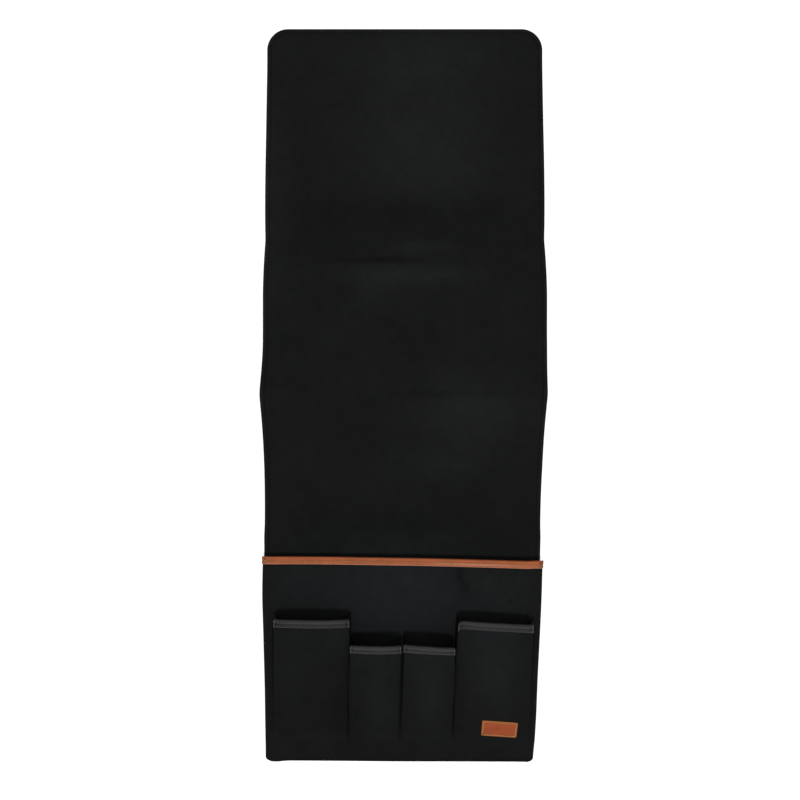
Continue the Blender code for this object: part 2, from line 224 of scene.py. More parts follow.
LABEL_SIZE = (0.0424, 0.020)
LABEL_THICKNESS = 0.0010
LABEL_CENTRE = (0.1180, -0.4097)
LABEL_TURN = math.radians(-4.5)
LABEL_SEAM = 0.0014
LABEL_PITCH = 0.0029
LABEL_STITCH = (0.0019, 0.0010)

CAMERA_PLACE = (-0.0042, -0.0062, 1.07)
CAMERA_LENS = 38.8
LAMP_PLACE = (0.12, -0.95, 6.0)
LAMP_AIM = (0, -0.20, 0)
LAMP_SIZE = 0.50
LAMP_POWER = 160.0
WORLD_LIGHT = 0.60
FLOOR_HALF = 14.0
FLOOR_HEIGHT = -0.0002
WHITE = (1.0, 1.0, 1.0)

# Soft folds pressed into the cloth: start, end, half width and height of each
PANEL_CREASES = (
    ((-0.085, 0.173), (0.075, 0.175), 0.0040, 0.0012),
    ((-0.095, 0.163), (0.030, 0.164), 0.0032, -0.0008),
    ((-0.060, 0.158), (0.090, 0.160), 0.0045, -0.0010),
    ((-0.075, 0.146), (0.070, 0.144), 0.0045, 0.0012),
    ((-0.120, 0.214), (0.020, 0.210), 0.0060, 0.0008),
    ((-0.155, 0.020), (-0.020, 0.010), 0.0070, -0.0009),
    ((0.020, 0.028), (0.150, 0.018), 0.0070, 0.0008),
    ((-0.020, -0.120), (0.160, -0.080), 0.0120, 0.0011),
)
LARGE_CREASES = (
    ((0.060, -0.206), (0.096, -0.250), 0.0032, 0.0016),
    ((0.056, -0.214), (0.088, -0.254), 0.0038, -0.0014),
    ((0.118, -0.252), (0.142, -0.249), 0.0055, -0.0016),
    ((-0.150, -0.226), (-0.060, -0.232), 0.0060, 0.0008),
    ((-0.020, -0.236), (0.050, -0.230), 0.0060, 0.0007),
    ((0.066, -0.4475), (0.084, -0.4470), 0.0012, 0.0007),
    ((0.096, -0.4468), (0.111, -0.4460), 0.0012, 0.0007),
    ((0.118, -0.4360), (0.136, -0.4345), 0.0014, 0.0007),
    ((0.000, -0.4295), (0.058, -0.4285), 0.0016, 0.0009),
    ((0.106, -0.4400), (0.150, -0.4425), 0.0020, 0.0009),
    ((-0.110, -0.4380), (-0.040, -0.4400), 0.0030, 0.0006),
    ((-0.172, -0.4470), (-0.140, -0.4500), 0.0018, 0.0009),
)
SMALL_CREASES = {
    "tall_left": (
        ((-0.074, -0.368), (-0.088, -0.425), 0.0070, -0.0014),
        ((-0.140, -0.300), (-0.092, -0.306), 0.0060, 0.0005),
        ((-0.150, -0.395), (-0.118, -0.412), 0.0050, 0.0006),
    ),
    "short_left": (
        ((-0.058, -0.330), (-0.020, -0.345), 0.0060, 0.0004),
        ((-0.050, -0.404), (-0.018, -0.412), 0.0040, 0.0005),
    ),
    "short_right": (
        ((0.008, -0.345), (0.048, -0.332), 0.0060, 0.0004),
        ((0.014, -0.410), (0.052, -0.404), 0.0040, 0.0006),
    ),
    "tall_right": (
        ((0.078, -0.296), (0.138, -0.304), 0.0060, 0.0005),
        ((0.072, -0.372), (0.092, -0.402), 0.0060, 0.0007),
    ),
}

# Broad patches of painted light (above 0) and painted shade (below 0) on the cloth, some of the
# shade along its creases and folds: the middle of each on the laid-out panel, its half width and
# half length, its strength, and how blue its painted light looks
PAINTED_LIGHT_PATCHES = (
    (0.022, 0.300, 0.080, 0.080, 0.78, 0.1),
    (0.000, 0.222, 0.120, 0.028, -0.40, 0.0),
    (0.025, 0.415, 0.085, 0.040, 0.60, 0.1),
    (-0.160, 0.250, 0.020, 0.120, 0.35, 0.0),
    (0.022, 0.180, 0.040, 0.007, 0.65, 0.1),
    (0.012, 0.145, 0.072, 0.013, 0.80, 0.1),
    (-0.030, 0.163, 0.050, 0.0035, -0.65, 0.0),
    (-0.038, 0.127, 0.018, 0.020, 0.50, 0.1),
    (0.082, -0.022, 0.060, 0.040, 0.90, 0.1),
    (0.070, 0.001, 0.070, 0.005, -0.50, 0.0),
    (0.045, -0.085, 0.055, 0.022, 0.40, 0.8),
    (0.000, -0.165, 0.150, 0.024, -0.30, 0.0),
    (-0.006, -0.245, 0.085, 0.060, 1.20, 0.8),
    (0.118, -0.250, 0.040, 0.035, 0.60, 0.3),
    (0.0690, -0.2190, 0.0045, 0.0120, -0.80, 0.0),
    (0.0750, -0.2370, 0.0055, 0.0100, -0.60, 0.0),
    (0.1305, -0.2525, 0.0030, 0.0022, -1.20, 0.0),
    (-0.130, -0.235, 0.030, 0.045, 0.40, 0.8),
    (-0.030, -0.365, 0.018, 0.040, 0.45, 0.9),
    (0.033, -0.355, 0.018, 0.045, 0.55, 0.8),
    (0.110, -0.330, 0.030, 0.055, 0.75, 0.4),
    (-0.140, -0.340, 0.020, 0.040, 0.25, 0.4),
    (-0.078, -0.395, 0.018, 0.030, -0.35, 0.0),
    (0.000, -0.440, 0.170, 0.012, -0.10, 0.0),
)


def metres(name, default, description):
    """A size in metres, shown in the scene's own unit of length."""
    return FloatProperty(name=name, description=description, default=default, unit="LENGTH")


def paint(name, default, description):
    """A colour to pick in the sidebar, each channel from 0 to 1."""
    return FloatVectorProperty(
        name=name, description=description, default=default, subtype="COLOR", min=0, max=1
    )


class OrganizerSizes(PropertyGroup):
    """The sizes that a maker would change."""

    stitch_pitch: metres("Stitch Pitch", 0.0036, "From one stitch of a topstitched seam to the next")
    stitch_length: metres("Stitch Length", 0.0027, "Length of the thread that shows in each stitch")
    thread: metres("Thread", 0.0006, "Width of the sewing thread")
    seam_inset: metres("Seam Inset", 0.0055, "From the panel's edge to its topstitching")
    yarn: metres("Yarn", 0.0006, "Width of one yarn of the black cloth")
    grip_dot: metres("Grip Dot Pitch", 0.006, "From one grip dot of the underside to the next")
    unevenness: metres("Unevenness", 0.0007, "How far the lying cloth rises and sinks by its soft waves")


class OrganizerColours(PropertyGroup):
    """The colours of the cloth, leather and thread."""

    cloth: paint("Cloth", (0.0084, 0.0088, 0.0087), "The black woven cloth")
    backing: paint("Backing", (0.0075, 0.0075, 0.0078), "The dotted non-slip underside")
    tan: paint("Tan Leather", (0.342, 0.0890, 0.0295), "The large pocket's binding")
    label: paint("Label Leather", (0.308, 0.0635, 0.0185), "The label, a redder tan than the binding")
    grey: paint("Grey Leather", (0.0128, 0.0130, 0.0133), "The small pockets' bindings")
    tan_thread: paint("Tan Thread", (0.62, 0.31, 0.12), "The thread in the tan leather")
    grey_thread: paint("Grey Thread", (0.0100, 0.0100, 0.0103), "The thread in the grey leather")
    black_thread: paint("Black Thread", (0.0022, 0.0022, 0.0023), "The thread in the cloth")
    felt: paint("Felt", (0.060, 0.060, 0.058), "The interlining inside the panel")
    board: paint("Board", (0.020, 0.020, 0.020), "The stiffener inside the pocket section")


def sizes():
    """The sizes as they stand in the sidebar."""
    return bpy.context.scene.organizer_sizes


# Shapes


def unit(vectors):
    """Each vector divided by its length."""
    return vectors / np.maximum(np.linalg.norm(vectors, axis=-1, keepdims=True), 1e-12)


def ease(share):
    """0 before 0, 1 after 1 and 3t² − 2t³ between."""
    share = np.clip(share, 0, 1)
    return share * share * (3 - 2 * share)


def bell(distance, width):
    """1 in the middle, falling off on both sides as exp(−(distance/width)²)."""
    return np.exp(-((distance / width) ** 2))


def waves(x, y, length, seed, count=16):
    """A smooth unevenness of size about 1: a sum of cosines with random headings and phases."""
    draw = np.random.default_rng(seed)
    heading = draw.uniform(0, 2 * math.pi, count)
    size = length * draw.uniform(0.7, 1.6, count)
    phase = draw.uniform(0, 2 * math.pi, count)
    total = 0 * x
    for turn, span, start in zip(heading, size, phase):
        along = x * math.cos(turn) + y * math.sin(turn)
        total = total + np.cos(2 * math.pi * along / span + start)
    return total * math.sqrt(2 / count)


def creases(x, y, folds):
    """The sum of folds along lines, each a bell across its line that fades to nothing at both ends."""
    total = 0 * x
    for start, end, width, height in folds:
        run_x, run_y = end[0] - start[0], end[1] - start[1]
        long = math.hypot(run_x, run_y)
        along = ((x - start[0]) * run_x + (y - start[1]) * run_y) / long**2
        across = ((x - start[0]) * run_y - (y - start[1]) * run_x) / long
        total = total + height * bell(across, width) * np.sin(math.pi * np.clip(along, 0, 1))
    return total


def graded(start, end, step_at):
    """Places from start to end whose spacing follows step_at: even steps of the integral of 1/step."""
    fine = np.linspace(start, end, 4001)
    density = 1 / step_at(fine)
    total = np.append(0, np.cumsum((density[1:] + density[:-1]) / 2 * np.diff(fine)))
    return np.interp(np.linspace(0, total[-1], math.ceil(total[-1]) + 1), total, fine)


def normals_of(grid):
    """Unit normals of a grid of points: the cross product of its two parameter directions."""
    along_v, along_u = np.gradient(grid, axis=(0, 1))
    return unit(np.cross(along_u, along_v))


def distances(grid, axis=0):
    """How far each point lies from the first one, added up along its column or row."""
    steps = np.linalg.norm(np.diff(grid, axis=axis), axis=-1)
    return np.insert(np.cumsum(steps, axis=axis), 0, 0, axis=axis)


def cloth_uv(grid):
    """Each point's place on the flat cloth: the distance along its row and up its column."""
    return np.stack([distances(grid, 1), distances(grid)], axis=2)


def border(rows, columns):
    """The grid's border as indices, anticlockwise from its first point."""
    up = np.arange(1, rows) * columns + columns - 1
    back = (rows - 1) * columns + np.arange(columns - 2, -1, -1)
    down = np.arange(rows - 2, 0, -1) * columns
    return np.concatenate([np.arange(columns), up, back, down])


def grid_faces(rows, columns):
    """A four-cornered face for each cell of a grid, anticlockwise from its first corner."""
    corner = (np.arange(rows - 1)[:, None] * columns + np.arange(columns - 1)).ravel()
    return np.stack([corner, corner + 1, corner + columns + 1, corner + columns], axis=1)


def add_mesh(name, points, faces, material, uv=None, flat=None, marks=None):
    """A mesh object from whole arrays. faces is a list of arrays, each with one face size."""
    mesh = bpy.data.meshes.new(name)
    mesh.vertices.add(len(points))
    mesh.vertices.foreach_set("co", np.asarray(points, np.float32).ravel())
    loops = np.concatenate([block.ravel() for block in faces]).astype(np.int32)
    corners = np.concatenate([np.full(len(block), block.shape[1]) for block in faces])
    mesh.loops.add(len(loops))
    mesh.loops.foreach_set("vertex_index", loops)
    mesh.polygons.add(len(corners))
    mesh.polygons.foreach_set("loop_start", (np.cumsum(corners) - corners).astype(np.int32))
    mesh.update(calc_edges=True)
    mesh.polygons.foreach_set("use_smooth", np.ones(len(corners), bool) if flat is None else ~flat)
    if uv is not None:
        layer = mesh.uv_layers.new(name="cloth")
        layer.uv.foreach_set("vector", np.asarray(uv, np.float32)[loops].ravel())
    for label, values in (marks or {}).items():
        attribute = mesh.attributes.new(label, "FLOAT", "POINT")
        attribute.data.foreach_set("value", np.asarray(values, np.float32))
    mesh.validate()
    mesh.materials.append(finish(material))
    obj = bpy.data.objects.new(name, mesh)
    bpy.context.scene.collection.objects.link(obj)
    return obj


def slab(name, grid, thickness, material, uv, marks=None, ends=(1, 1, 1, 1), normals=None):
    """A closed sheet round a grid of points.

    Its two faces lie half the thickness each side of the grid along the normals. A row of
    points half way round the rim, pushed outwards by 0.42 of the thickness, rounds its edge.
    ends says which edges are rounded: first row, last row, first column, last column. An edge
    that isn't is cut square, so that it meets its neighbour's.
    """
    rows, columns = grid.shape[:2]
    normals = normals_of(grid) if normals is None else normals
    push = np.zeros_like(grid)
    push[0] += ends[0] * unit(grid[0] - grid[1])
    push[-1] += ends[1] * unit(grid[-1] - grid[-2])
    push[:, 0] += ends[2] * unit(grid[:, 0] - grid[:, 1])
    push[:, -1] += ends[3] * unit(grid[:, -1] - grid[:, -2])
    edge = border(rows, columns)

    def all_round(outer, inner, rim):
        """Values of both faces, then of the rim, in the order of the points."""
        return np.concatenate([outer, inner, rim[edge]])

    off = normals * thickness / 2
    layers = grid + off, grid - off, grid + push * thickness * RIM_PUSH
    points = all_round(*(layer.reshape(-1, 3) for layer in layers))
    top = grid_faces(rows, columns)
    size = rows * columns
    ring = 2 * size + np.arange(len(edge))
    after, ring_after = np.roll(edge, -1), np.roll(ring, -1)
    upper = np.stack([after, edge, ring, ring_after], axis=1)
    lower = np.stack([ring_after, ring, edge + size, after + size], axis=1)
    faces = np.concatenate([top, top[:, ::-1] + size, upper, lower])
    rounded = np.array([ends[0], ends[3], ends[1], ends[2]], bool)
    square = np.repeat(~rounded, [columns - 1, rows - 1, columns - 1, rows - 1])
    flat = np.concatenate([np.zeros(2 * len(top), bool), square, square])
    marks = {
        label: all_round(*[np.broadcast_to(values, (rows, columns)).ravel()] * 3)
        for label, values in (marks or {}).items()
    }
    return add_mesh(name, points, [faces], material, all_round(*[uv.reshape(-1, 2)] * 3), flat, marks)


def sewn_along(line, pitch, ups=None, start=0.0):
    """Places at an even pitch along a line of points, with the line's direction and up at each."""
    run = distances(line)
    ups = np.tile((0.0, 0.0, 1.0), (len(line), 1)) if ups is None else ups
    count = max(1, int((run[-1] - 2 * start) / pitch))
    at = run[-1] / 2 + (np.arange(count) - (count - 1) / 2) * pitch

    def found(values, at):
        """The values at these lengths of run, in a straight line between two points."""
        return np.stack([np.interp(at, run, values[:, k]) for k in range(3)], axis=1)

    direction = unit(found(line, at + pitch / 8) - found(line, at - pitch / 8))
    return found(line, at), direction, found(ups, at)


def stitches(name, seam, material, length=None, thread=None):
    """Thread arches along a seam, one at each of its places, with its direction and up.

    Each is a tube of five rings of six points and two closing points. Along the run its height
    is a parabola, so that it rises from the cloth in the middle and sinks into it at its ends.
    """
    places, runs, ups = seam
    length = length or sizes().stitch_length
    thread = thread or sizes().thread
    along = np.array([-0.5, -0.36, 0.0, 0.36, 0.5])
    girth = np.array([0.72, 0.95, 1.0, 0.95, 0.72]) * thread / 2
    arch = (1 - (2 * along) ** 2 - SINK) * thread * ARCH
    turn = np.arange(6) * math.pi / 3
    run = np.append(np.repeat(along * length, 6), [-0.56 * length, 0.56 * length])
    side = np.append(np.outer(girth, np.cos(turn)), [0, 0])
    rise = np.append(np.outer(girth, np.sin(turn)) + arch[:, None], [-SINK * thread, -SINK * thread])
    ups = unit(ups)
    runs = unit(runs - (runs * ups).sum(1, keepdims=True) * ups)
    axes = np.stack([runs, np.cross(ups, runs), ups], axis=1)
    points = places[:, None] + np.stack([run, side, rise], axis=1) @ axes
    ring = np.arange(4)[:, None] * 6
    here, there = np.arange(6), np.roll(np.arange(6), -1)
    tube = np.stack([ring + there, ring + 6 + there, ring + 6 + here, ring + here], axis=2)
    caps = np.stack([[there, here, 0 * here + 30], [24 + here, 24 + there, 0 * here + 31]], axis=0)
    base = np.arange(len(places))[:, None, None] * 32
    quads = (tube.reshape(-1, 4) + base).reshape(-1, 4)
    caps = (caps.transpose(0, 2, 1).reshape(-1, 3) + base).reshape(-1, 3)
    uv = np.append(np.repeat(along * length, 6), [0, 0]), np.append(np.tile(turn, 5) * thread / 2, [0, 0])
    uv = np.tile(np.stack(uv, axis=1), (len(places), 1))
    return add_mesh(name, points.reshape(-1, 3), [quads, caps], material, uv)


# The panel's form


def arm_top_height(y):
    """A power curve from the mouth fold up to the ridge, with a low lift beside the fold."""
    share = np.clip((y - MOUTH_FOLD) / (RIDGE_FOLD - MOUTH_FOLD), 0, 1)
    by_fold = np.clip((y - MOUTH_FOLD) / CREASE_LIFT_LENGTH, 0, 1)
    return RIDGE_HEIGHT * share**ARM_TOP_POWER + CREASE_LIFT * np.sin(math.pi * by_fold) ** 2


def inner_drop_height(y):
    """A quick fall from the ridge to a plateau, then a curl down to the valley."""
    along = y - RIDGE_FOLD
    fall = (RIDGE_HEIGHT - PLATEAU_HEIGHT) * np.clip(1 - along / PLATEAU_START, 0, 1) ** 2
    curl = np.clip((along - CURL_START) / (VALLEY_FOLD - RIDGE_FOLD - CURL_START), 0, 1) ** CURL_POWER
    return PLATEAU_HEIGHT + fall - (PLATEAU_HEIGHT - VALLEY_HEIGHT) * curl


def tuck_flap_height(y):
    """A long low hump that ends flat on the floor, dipped beside the valley."""
    along = np.maximum(y - VALLEY_FOLD, 0)
    hump = HUMP_HEIGHT * np.clip(1 - (along / HUMP_LENGTH) ** 2, 0, 1) ** HUMP_POWER
    return np.clip(hump - (HUMP_HEIGHT - VALLEY_HEIGHT) * np.exp(-along / VALLEY_LENGTH), 0, None)


def profile_height(y):
    """Each section's own height: the pocket section lies at 0."""
    lower = np.where(y < MOUTH_FOLD, 0, arm_top_height(y))
    upper = np.where(y < VALLEY_FOLD, inner_drop_height(y), tuck_flap_height(y))
    return np.where(y < RIDGE_FOLD, lower, upper)


def panel_base(x, y):
    """Height of the panel's underside, with waves and creases where it is off the floor.

    The profile is averaged in a bell over a few millimetres each way, so each fold is a soft bend.
    """
    offsets = np.linspace(-0.010, 0.010, 13)
    weights = bell(offsets, 0.0052)
    height = sum(w * profile_height(y + offset) for w, offset in zip(weights, offsets)) / weights.sum()
    wave = sizes().unevenness * (0.75 * waves(x, y, 0.16, 3) + 0.35 * waves(x, y, 0.07, 4))
    return height + ease(height / 0.012) * (wave + creases(x, y, PANEL_CREASES))


def round_corners(across, along, half_width, half_length, radius, rim):
    """Carries a rectangle's rings of equal inset onto the same rings of a round-cornered outline.

    In a corner square the larger of the two distances past the corner's centre is the ring, and
    their ratio is the turn round it. rim gives a ring's true inset and lift from its inset on
    the flat cloth, so that the rings past the edge turn under. Returns x, y and lift.
    """
    past_x = np.abs(across) - (half_width - radius)
    past_y = np.abs(along) - (half_length - radius)
    reach = np.maximum(past_x, past_y)
    sideways = past_x >= past_y
    ratio = np.minimum(past_x, past_y) / np.where(reach > 1e-9, reach, 1)
    ratio = np.clip(ratio, 0, 1) * (reach > 1e-9)
    turn = np.where(sideways, math.pi / 4 * ratio, math.pi / 2 - math.pi / 4 * ratio)
    corner = (past_x > 0) & (past_y > 0)
    inset, lift = rim(radius - reach)
    reach = radius - inset
    x = half_width - radius + np.where(corner, reach * np.cos(turn), reach)
    y = half_length - radius + np.where(corner, reach * np.sin(turn), reach)
    x = np.where(corner | sideways, x, np.abs(across)) * np.sign(across)
    y = np.where(corner | ~sideways, y, np.abs(along)) * np.sign(along)
    return x, y, lift


def face_rim(inset):
    """The face cloth's section at the panel's edge.

    Past the edge it turns under along a half circle. Inside, it is a low pillow between the edge
    and the seam, is drawn down at the seam, and rises to its full height over the next 6 mm.
    """
    seam = sizes().seam_inset
    beyond = np.maximum(RIM_INSET - inset, 0)
    turn = np.clip(beyond / RIM_RADIUS, 0, math.pi)
    under = np.maximum(beyond - math.pi * RIM_RADIUS, 0)
    to_seam = np.clip((inset - RIM_INSET) / (seam - RIM_INSET), 0, 1)
    pillow = EDGE_LIFT + (SEAM_LIFT - EDGE_LIFT) * to_seam + 0.00045 * np.sin(math.pi * to_seam)
    rise = (TOP_LIFT - SEAM_LIFT) * ease((inset - seam) / 0.006)
    lift = np.where(turn > 0, EDGE_LIFT - RIM_RADIUS * (1 - np.cos(turn)), pillow + rise)
    true_inset = np.where(turn > 0, RIM_INSET - RIM_RADIUS * np.sin(turn) + under, inset)
    return true_inset, lift


def backing_rim(inset):
    """The backing's section: flat, with a narrow groove where the seam's thread draws it up."""
    return inset, BACKING / 2 + 0.0003 * bell(inset - sizes().seam_inset, 0.0008)


def share_across(x):
    """0 at the panel's left edge and 1 at its right."""
    return (x + HALF_WIDTH) / (2 * HALF_WIDTH)


def foot_pull(x, y):
    """How far the pocket end lies below its straight place.

    It is drawn up evenly towards the left, but its left corner hangs out a little in a bell.
    Both fade out 15 mm up from the end.
    """
    hang = 0.0013 * bell(x + 0.157, 0.0085) - 0.0018 * (1 - share_across(x))
    return hang * np.clip((-0.4385 - y) / 0.015, 0, 1)


def drift(y):
    """How far the lying panel has slid sideways: right on the flap's side, left by the mouth fold."""
    slid = 0.0017 * ease((y + 0.010) / 0.075) - 0.0014 * bell(y + 0.205, 0.095)
    return slid - 0.0005 * ease((-0.420 - y) / 0.030)


def swell(y):
    """How much wider each half lies than it is cut: most at the ridge and at the mouth fold."""
    even = 0.0005 * ease((y + 0.445) / 0.060) - 0.0006 * ease((-0.420 - y) / 0.030)
    return even + 0.0005 * bell(y, 0.030) + 0.0012 * bell(y + 0.245, 0.065)


def drawn_in(y):
    """How far the right edge is drawn in, evenly from the mouth fold to the pocket end."""
    return RIGHT_DRAW_IN * np.clip((MOUTH_FOLD - y) / (MOUTH_FOLD - POCKET_END), 0, 1)


def left_edge(y):
    """The large pocket's left edge as it lies, a little in from the panel's beside the mouth."""
    return drift(y) - HALF_WIDTH - swell(y) + 0.0011 * ease((y + 0.261) / 0.062)


def right_edge(y):
    """The large pocket's right edge as it lies."""
    return drift(y) + HALF_WIDTH + swell(y) - drawn_in(y)


def panel_points(across, along, rim):
    """Points of a layer of the panel, square to the underside at each place, and its normals."""
    radius = np.where(along > 0, FLAP_CORNER, POCKET_CORNER)
    x, y, lift = round_corners(across, along, HALF_WIDTH, FLAP_END, radius, rim)
    x = x - share_across(x) * drawn_in(y) + drift(y) + x / HALF_WIDTH * swell(y)
    y = y - foot_pull(x, y)
    step = NORMAL_STEP
    slope_x = (panel_base(x + step, y) - panel_base(x - step, y)) / (2 * step)
    slope_y = (panel_base(x, y + step) - panel_base(x, y - step)) / (2 * step)
    normal = unit(np.stack([-slope_x, -slope_y, np.ones_like(x)], axis=-1))
    base = np.stack([x, y, panel_base(x, y)], axis=-1)
    return base + normal * np.asarray(lift)[..., None], normal


def panel_grid(columns, rows, rim):
    """A layer of the panel as a grid of points, with each point's place on the flat cloth."""
    across, along = np.meshgrid(columns, rows)
    return panel_points(across, along, rim)[0], np.stack([across, along], axis=-1)


def panel_places(outermost, step):
    """Columns across the panel and rows along it: close round the edge, at the seam and at the folds.

    Two rows hard beside each split keep the square cut's corner out of the face's shading.
    """
    turned = RIM_INSET - np.linspace(math.pi, 0, 5) * RIM_RADIUS
    by_edge = RIM_INSET + np.array([1, 2.2]) * MM
    by_seam = sizes().seam_inset + np.array([-0.9, -0.3, 0.3, 0.9, 2.0, 3.6, 5.8, 8.6]) * MM
    insets = np.concatenate([turned, by_edge, by_seam])
    insets = np.append(outermost, insets[insets > outermost + 0.0002])
    inner = HALF_WIDTH - insets[-1]
    middle = np.linspace(-inner, inner, math.ceil(2 * inner / step) + 1)[1:-1]
    columns = np.concatenate([insets - HALF_WIDTH, middle, (HALF_WIDTH - insets)[::-1]])

    def spacing(y):
        """The step, 0.45 of it within 10 mm of a fold and eased back over the next 20 mm."""
        near = np.min([np.abs(y - fold) for fold in (MOUTH_FOLD, RIDGE_FOLD, VALLEY_FOLD)], axis=0)
        return step * (0.45 + 0.55 * ease((near - 0.010) / 0.020))

    cuts = (POCKET_END + insets[-1], *SPLITS, FLAP_END - insets[-1])
    parts = [graded(low, high, spacing) for low, high in zip(cuts, cuts[1:])]
    beside = [split + side for split in SPLITS for side in (-0.00005, 0.00005)]
    return columns, np.unique(np.concatenate([POCKET_END + insets, FLAP_END - insets, beside, *parts]))


def bend_over(obj):
    """Bakes the piece's placement into its mesh points."""
    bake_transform(obj)


def sewn_sheets(layer, rim, outermost, step, thickness, material):
    """The three pieces of one layer of the panel, cut from one grid so that they meet exactly."""
    columns, rows = panel_places(outermost, step)
    grid, flat = panel_grid(columns, rows, rim)
    normals = normals_of(grid)
    inset = np.minimum(HALF_WIDTH - np.abs(flat[..., 0]), FLAP_END - np.abs(flat[..., 1]))
    wear = ease((flat[..., 1] - POCKET_END) / 0.030) * bell(inset - 1.6 * RIM_INSET, 0.0008)
    cuts = [0, *(int(np.argmin(np.abs(rows - split))) for split in SPLITS), len(rows) - 1]
    for (name, bodies, fold), first, last in zip(PANEL_PIECES, cuts, cuts[1:]):
        part = slice(first, last + 1)
        # Besides the worn rim, the marks paint broad patches of light and shade on the cloth.
        marks = {"wear": wear[part], **nap(grid[part])}
        ends = (first == 0, last == len(rows) - 1, 1, 1)
        name = f"panel_{layer}_{name}"
        obj = slab(name, grid[part], thickness, material, flat[part], marks, ends, normals[part])
        bend_over(obj)
        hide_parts(*(f"{body}_{layer}" for body in bodies))


def panel_seam(rim, side, thickness):
    """The stitch line round the whole panel, one seam inset in from its edge."""
    half, end = HALF_WIDTH - sizes().seam_inset, FLAP_END - sizes().seam_inset
    up, right = np.linspace(-end, end, 700), np.linspace(-half, half, 260)
    across = np.concatenate([0 * up - half, right, 0 * up + half, right[::-1]])
    along = np.concatenate([up, 0 * right + end, up[::-1], 0 * right - end])
    line, normal = panel_points(across, along, rim)
    line = line + side * normal * thickness / 2
    keep = np.append(True, np.linalg.norm(np.diff(line, axis=0), axis=1) > 1e-6)
    return sewn_along(line[keep], sizes().stitch_pitch, side * normal[keep])


# The pockets


def corner_inset(distance, radius):
    """How far a round corner stands in from its side, at a distance from its end."""
    past = np.clip(radius - distance, 0, radius)
    return radius - np.sqrt(radius**2 - past**2)


def side_curl(from_side, width, drop):
    """How far a pocket front's side rolls down: the square of what is left of the width."""
    return drop * (1 - np.clip(from_side / width, 0, 1)) ** 2


def edge_columns(width, step):
    """Shares across a front: close at its rolled sides, even between."""
    near = np.array([0, 0.35, 0.8, 1.4, 2.1, 3.0, 4.2, 6.0]) * MM / width
    middle = np.linspace(near[-1], 1 - near[-1], math.ceil((width - 0.012) / step) + 1)
    return np.concatenate([near[:-1], middle, 1 - near[-2::-1]])


def large_mouth(x):
    """The large pocket's mouth edge, which sags towards the right up to its tacked end."""
    sag = LARGE_SAG * share_across(x) ** 2 - 0.0010 * ease((x - 0.148) / 0.018)
    return LARGE_BOTTOM + LARGE_HEIGHT - sag


def large_top(x, y):
    """The large front's upper side, from the panel to a depth times the share of its height to a power.

    On it lie soft waves, creases, the groove of the foot seam and the puckers beside that.
    """
    share = np.clip((y - LARGE_BOTTOM) / (large_mouth(x) - LARGE_BOTTOM), 0, None)
    depth = LARGE_DEPTH + LARGE_EXTRA_DEPTH * share_across(x) ** 2
    sunk = 0.0006 * ease((LARGE_BOTTOM - y) / 0.003)
    under = POCKET_FLOOR + depth * share**LARGE_SLOPE_POWER - sunk
    wave = 0.0004 * ease((y - LARGE_BOTTOM) / LARGE_HEIGHT / 0.25) * waves(x, y, 0.09, 21)
    from_seam = y - (LARGE_BOTTOM + LARGE_SEAM)
    pucker = 0.00012 * waves(x, 0 * y, 0.009, 22, 6) * bell(from_seam, 0.004)
    relief = wave + creases(x, y, LARGE_CREASES) + pucker - 0.00030 * bell(from_seam, 0.0009)
    return under + LARGE_THICKNESS + relief


def large_front(across, share):
    """Middle surface of the large pocket's front at a share of its width and of its height."""
    x = -HALF_WIDTH + 2 * HALF_WIDTH * across
    y = LARGE_BOTTOM + share * (large_mouth(x) - LARGE_BOTTOM)
    y = y - corner_inset(np.abs(across - np.clip(across, 0, 1)), 0.0005)
    rounded = corner_inset(y - POCKET_END - 0.0003, POCKET_CORNER)
    left, right = left_edge(y) + rounded, right_edge(y) - rounded
    x = left + (right - left) * across
    z = large_top(x, y) - LARGE_THICKNESS / 2
    z = z - side_curl(np.minimum(x - left, right - x), 0.0040, 0.0016)
    return np.stack([x, y - foot_pull(x, y), z], axis=-1)


def lean(x, y):
    """How far a small pocket lies left of its mouth's place: nothing there, most at its foot."""
    up = np.clip((y - SMALL_BOTTOM) / TALL_HEIGHT, 0, 1)
    return (1 - up) * np.interp(x, LEAN_PLACES, LEAN_AT_FOOT)


def side_shift(pocket, side, share):
    """How far a side of a small pocket (0 left, 1 right) lies in from its straight line."""
    share = np.clip(share, 0, 1)
    return pocket.drawn[side] * share**2 - pocket.full[side] * 4 * share * (1 - share)


def small_mouth(pocket, x):
    """A small pocket's mouth edge, which falls to the right by a power of the share across."""
    across = np.clip((x - pocket.left) / pocket.width, 0, 1.1)
    return SMALL_BOTTOM + pocket.height - pocket.drop * across**1.6


def small_under(pocket, x, y):
    """Underside of a small pocket's front at a place that isn't leant yet.

    Over the large front it rises as a slope with a soft belly and a crown, waves and creases.
    """
    share = np.clip((y - SMALL_BOTTOM) / (small_mouth(pocket, x) - SMALL_BOTTOM), 0, None)
    slope = pocket.depth * (BELLY_SHARE * ease(share / BELLY_LENGTH) + (1 - BELLY_SHARE) * share)
    crown = pocket.crown * share * (1 - (2 * (x - pocket.left) / pocket.width - 1) ** 2)
    up = (y - SMALL_BOTTOM) / pocket.height
    wave = 0.0005 * ease(up / 0.35) * waves(x, y, 0.06, pocket.seed)
    relief = wave + creases(x, y, SMALL_CREASES[pocket.name])
    return large_top(x - lean(x, y), y) + GAP + slope + crown + relief


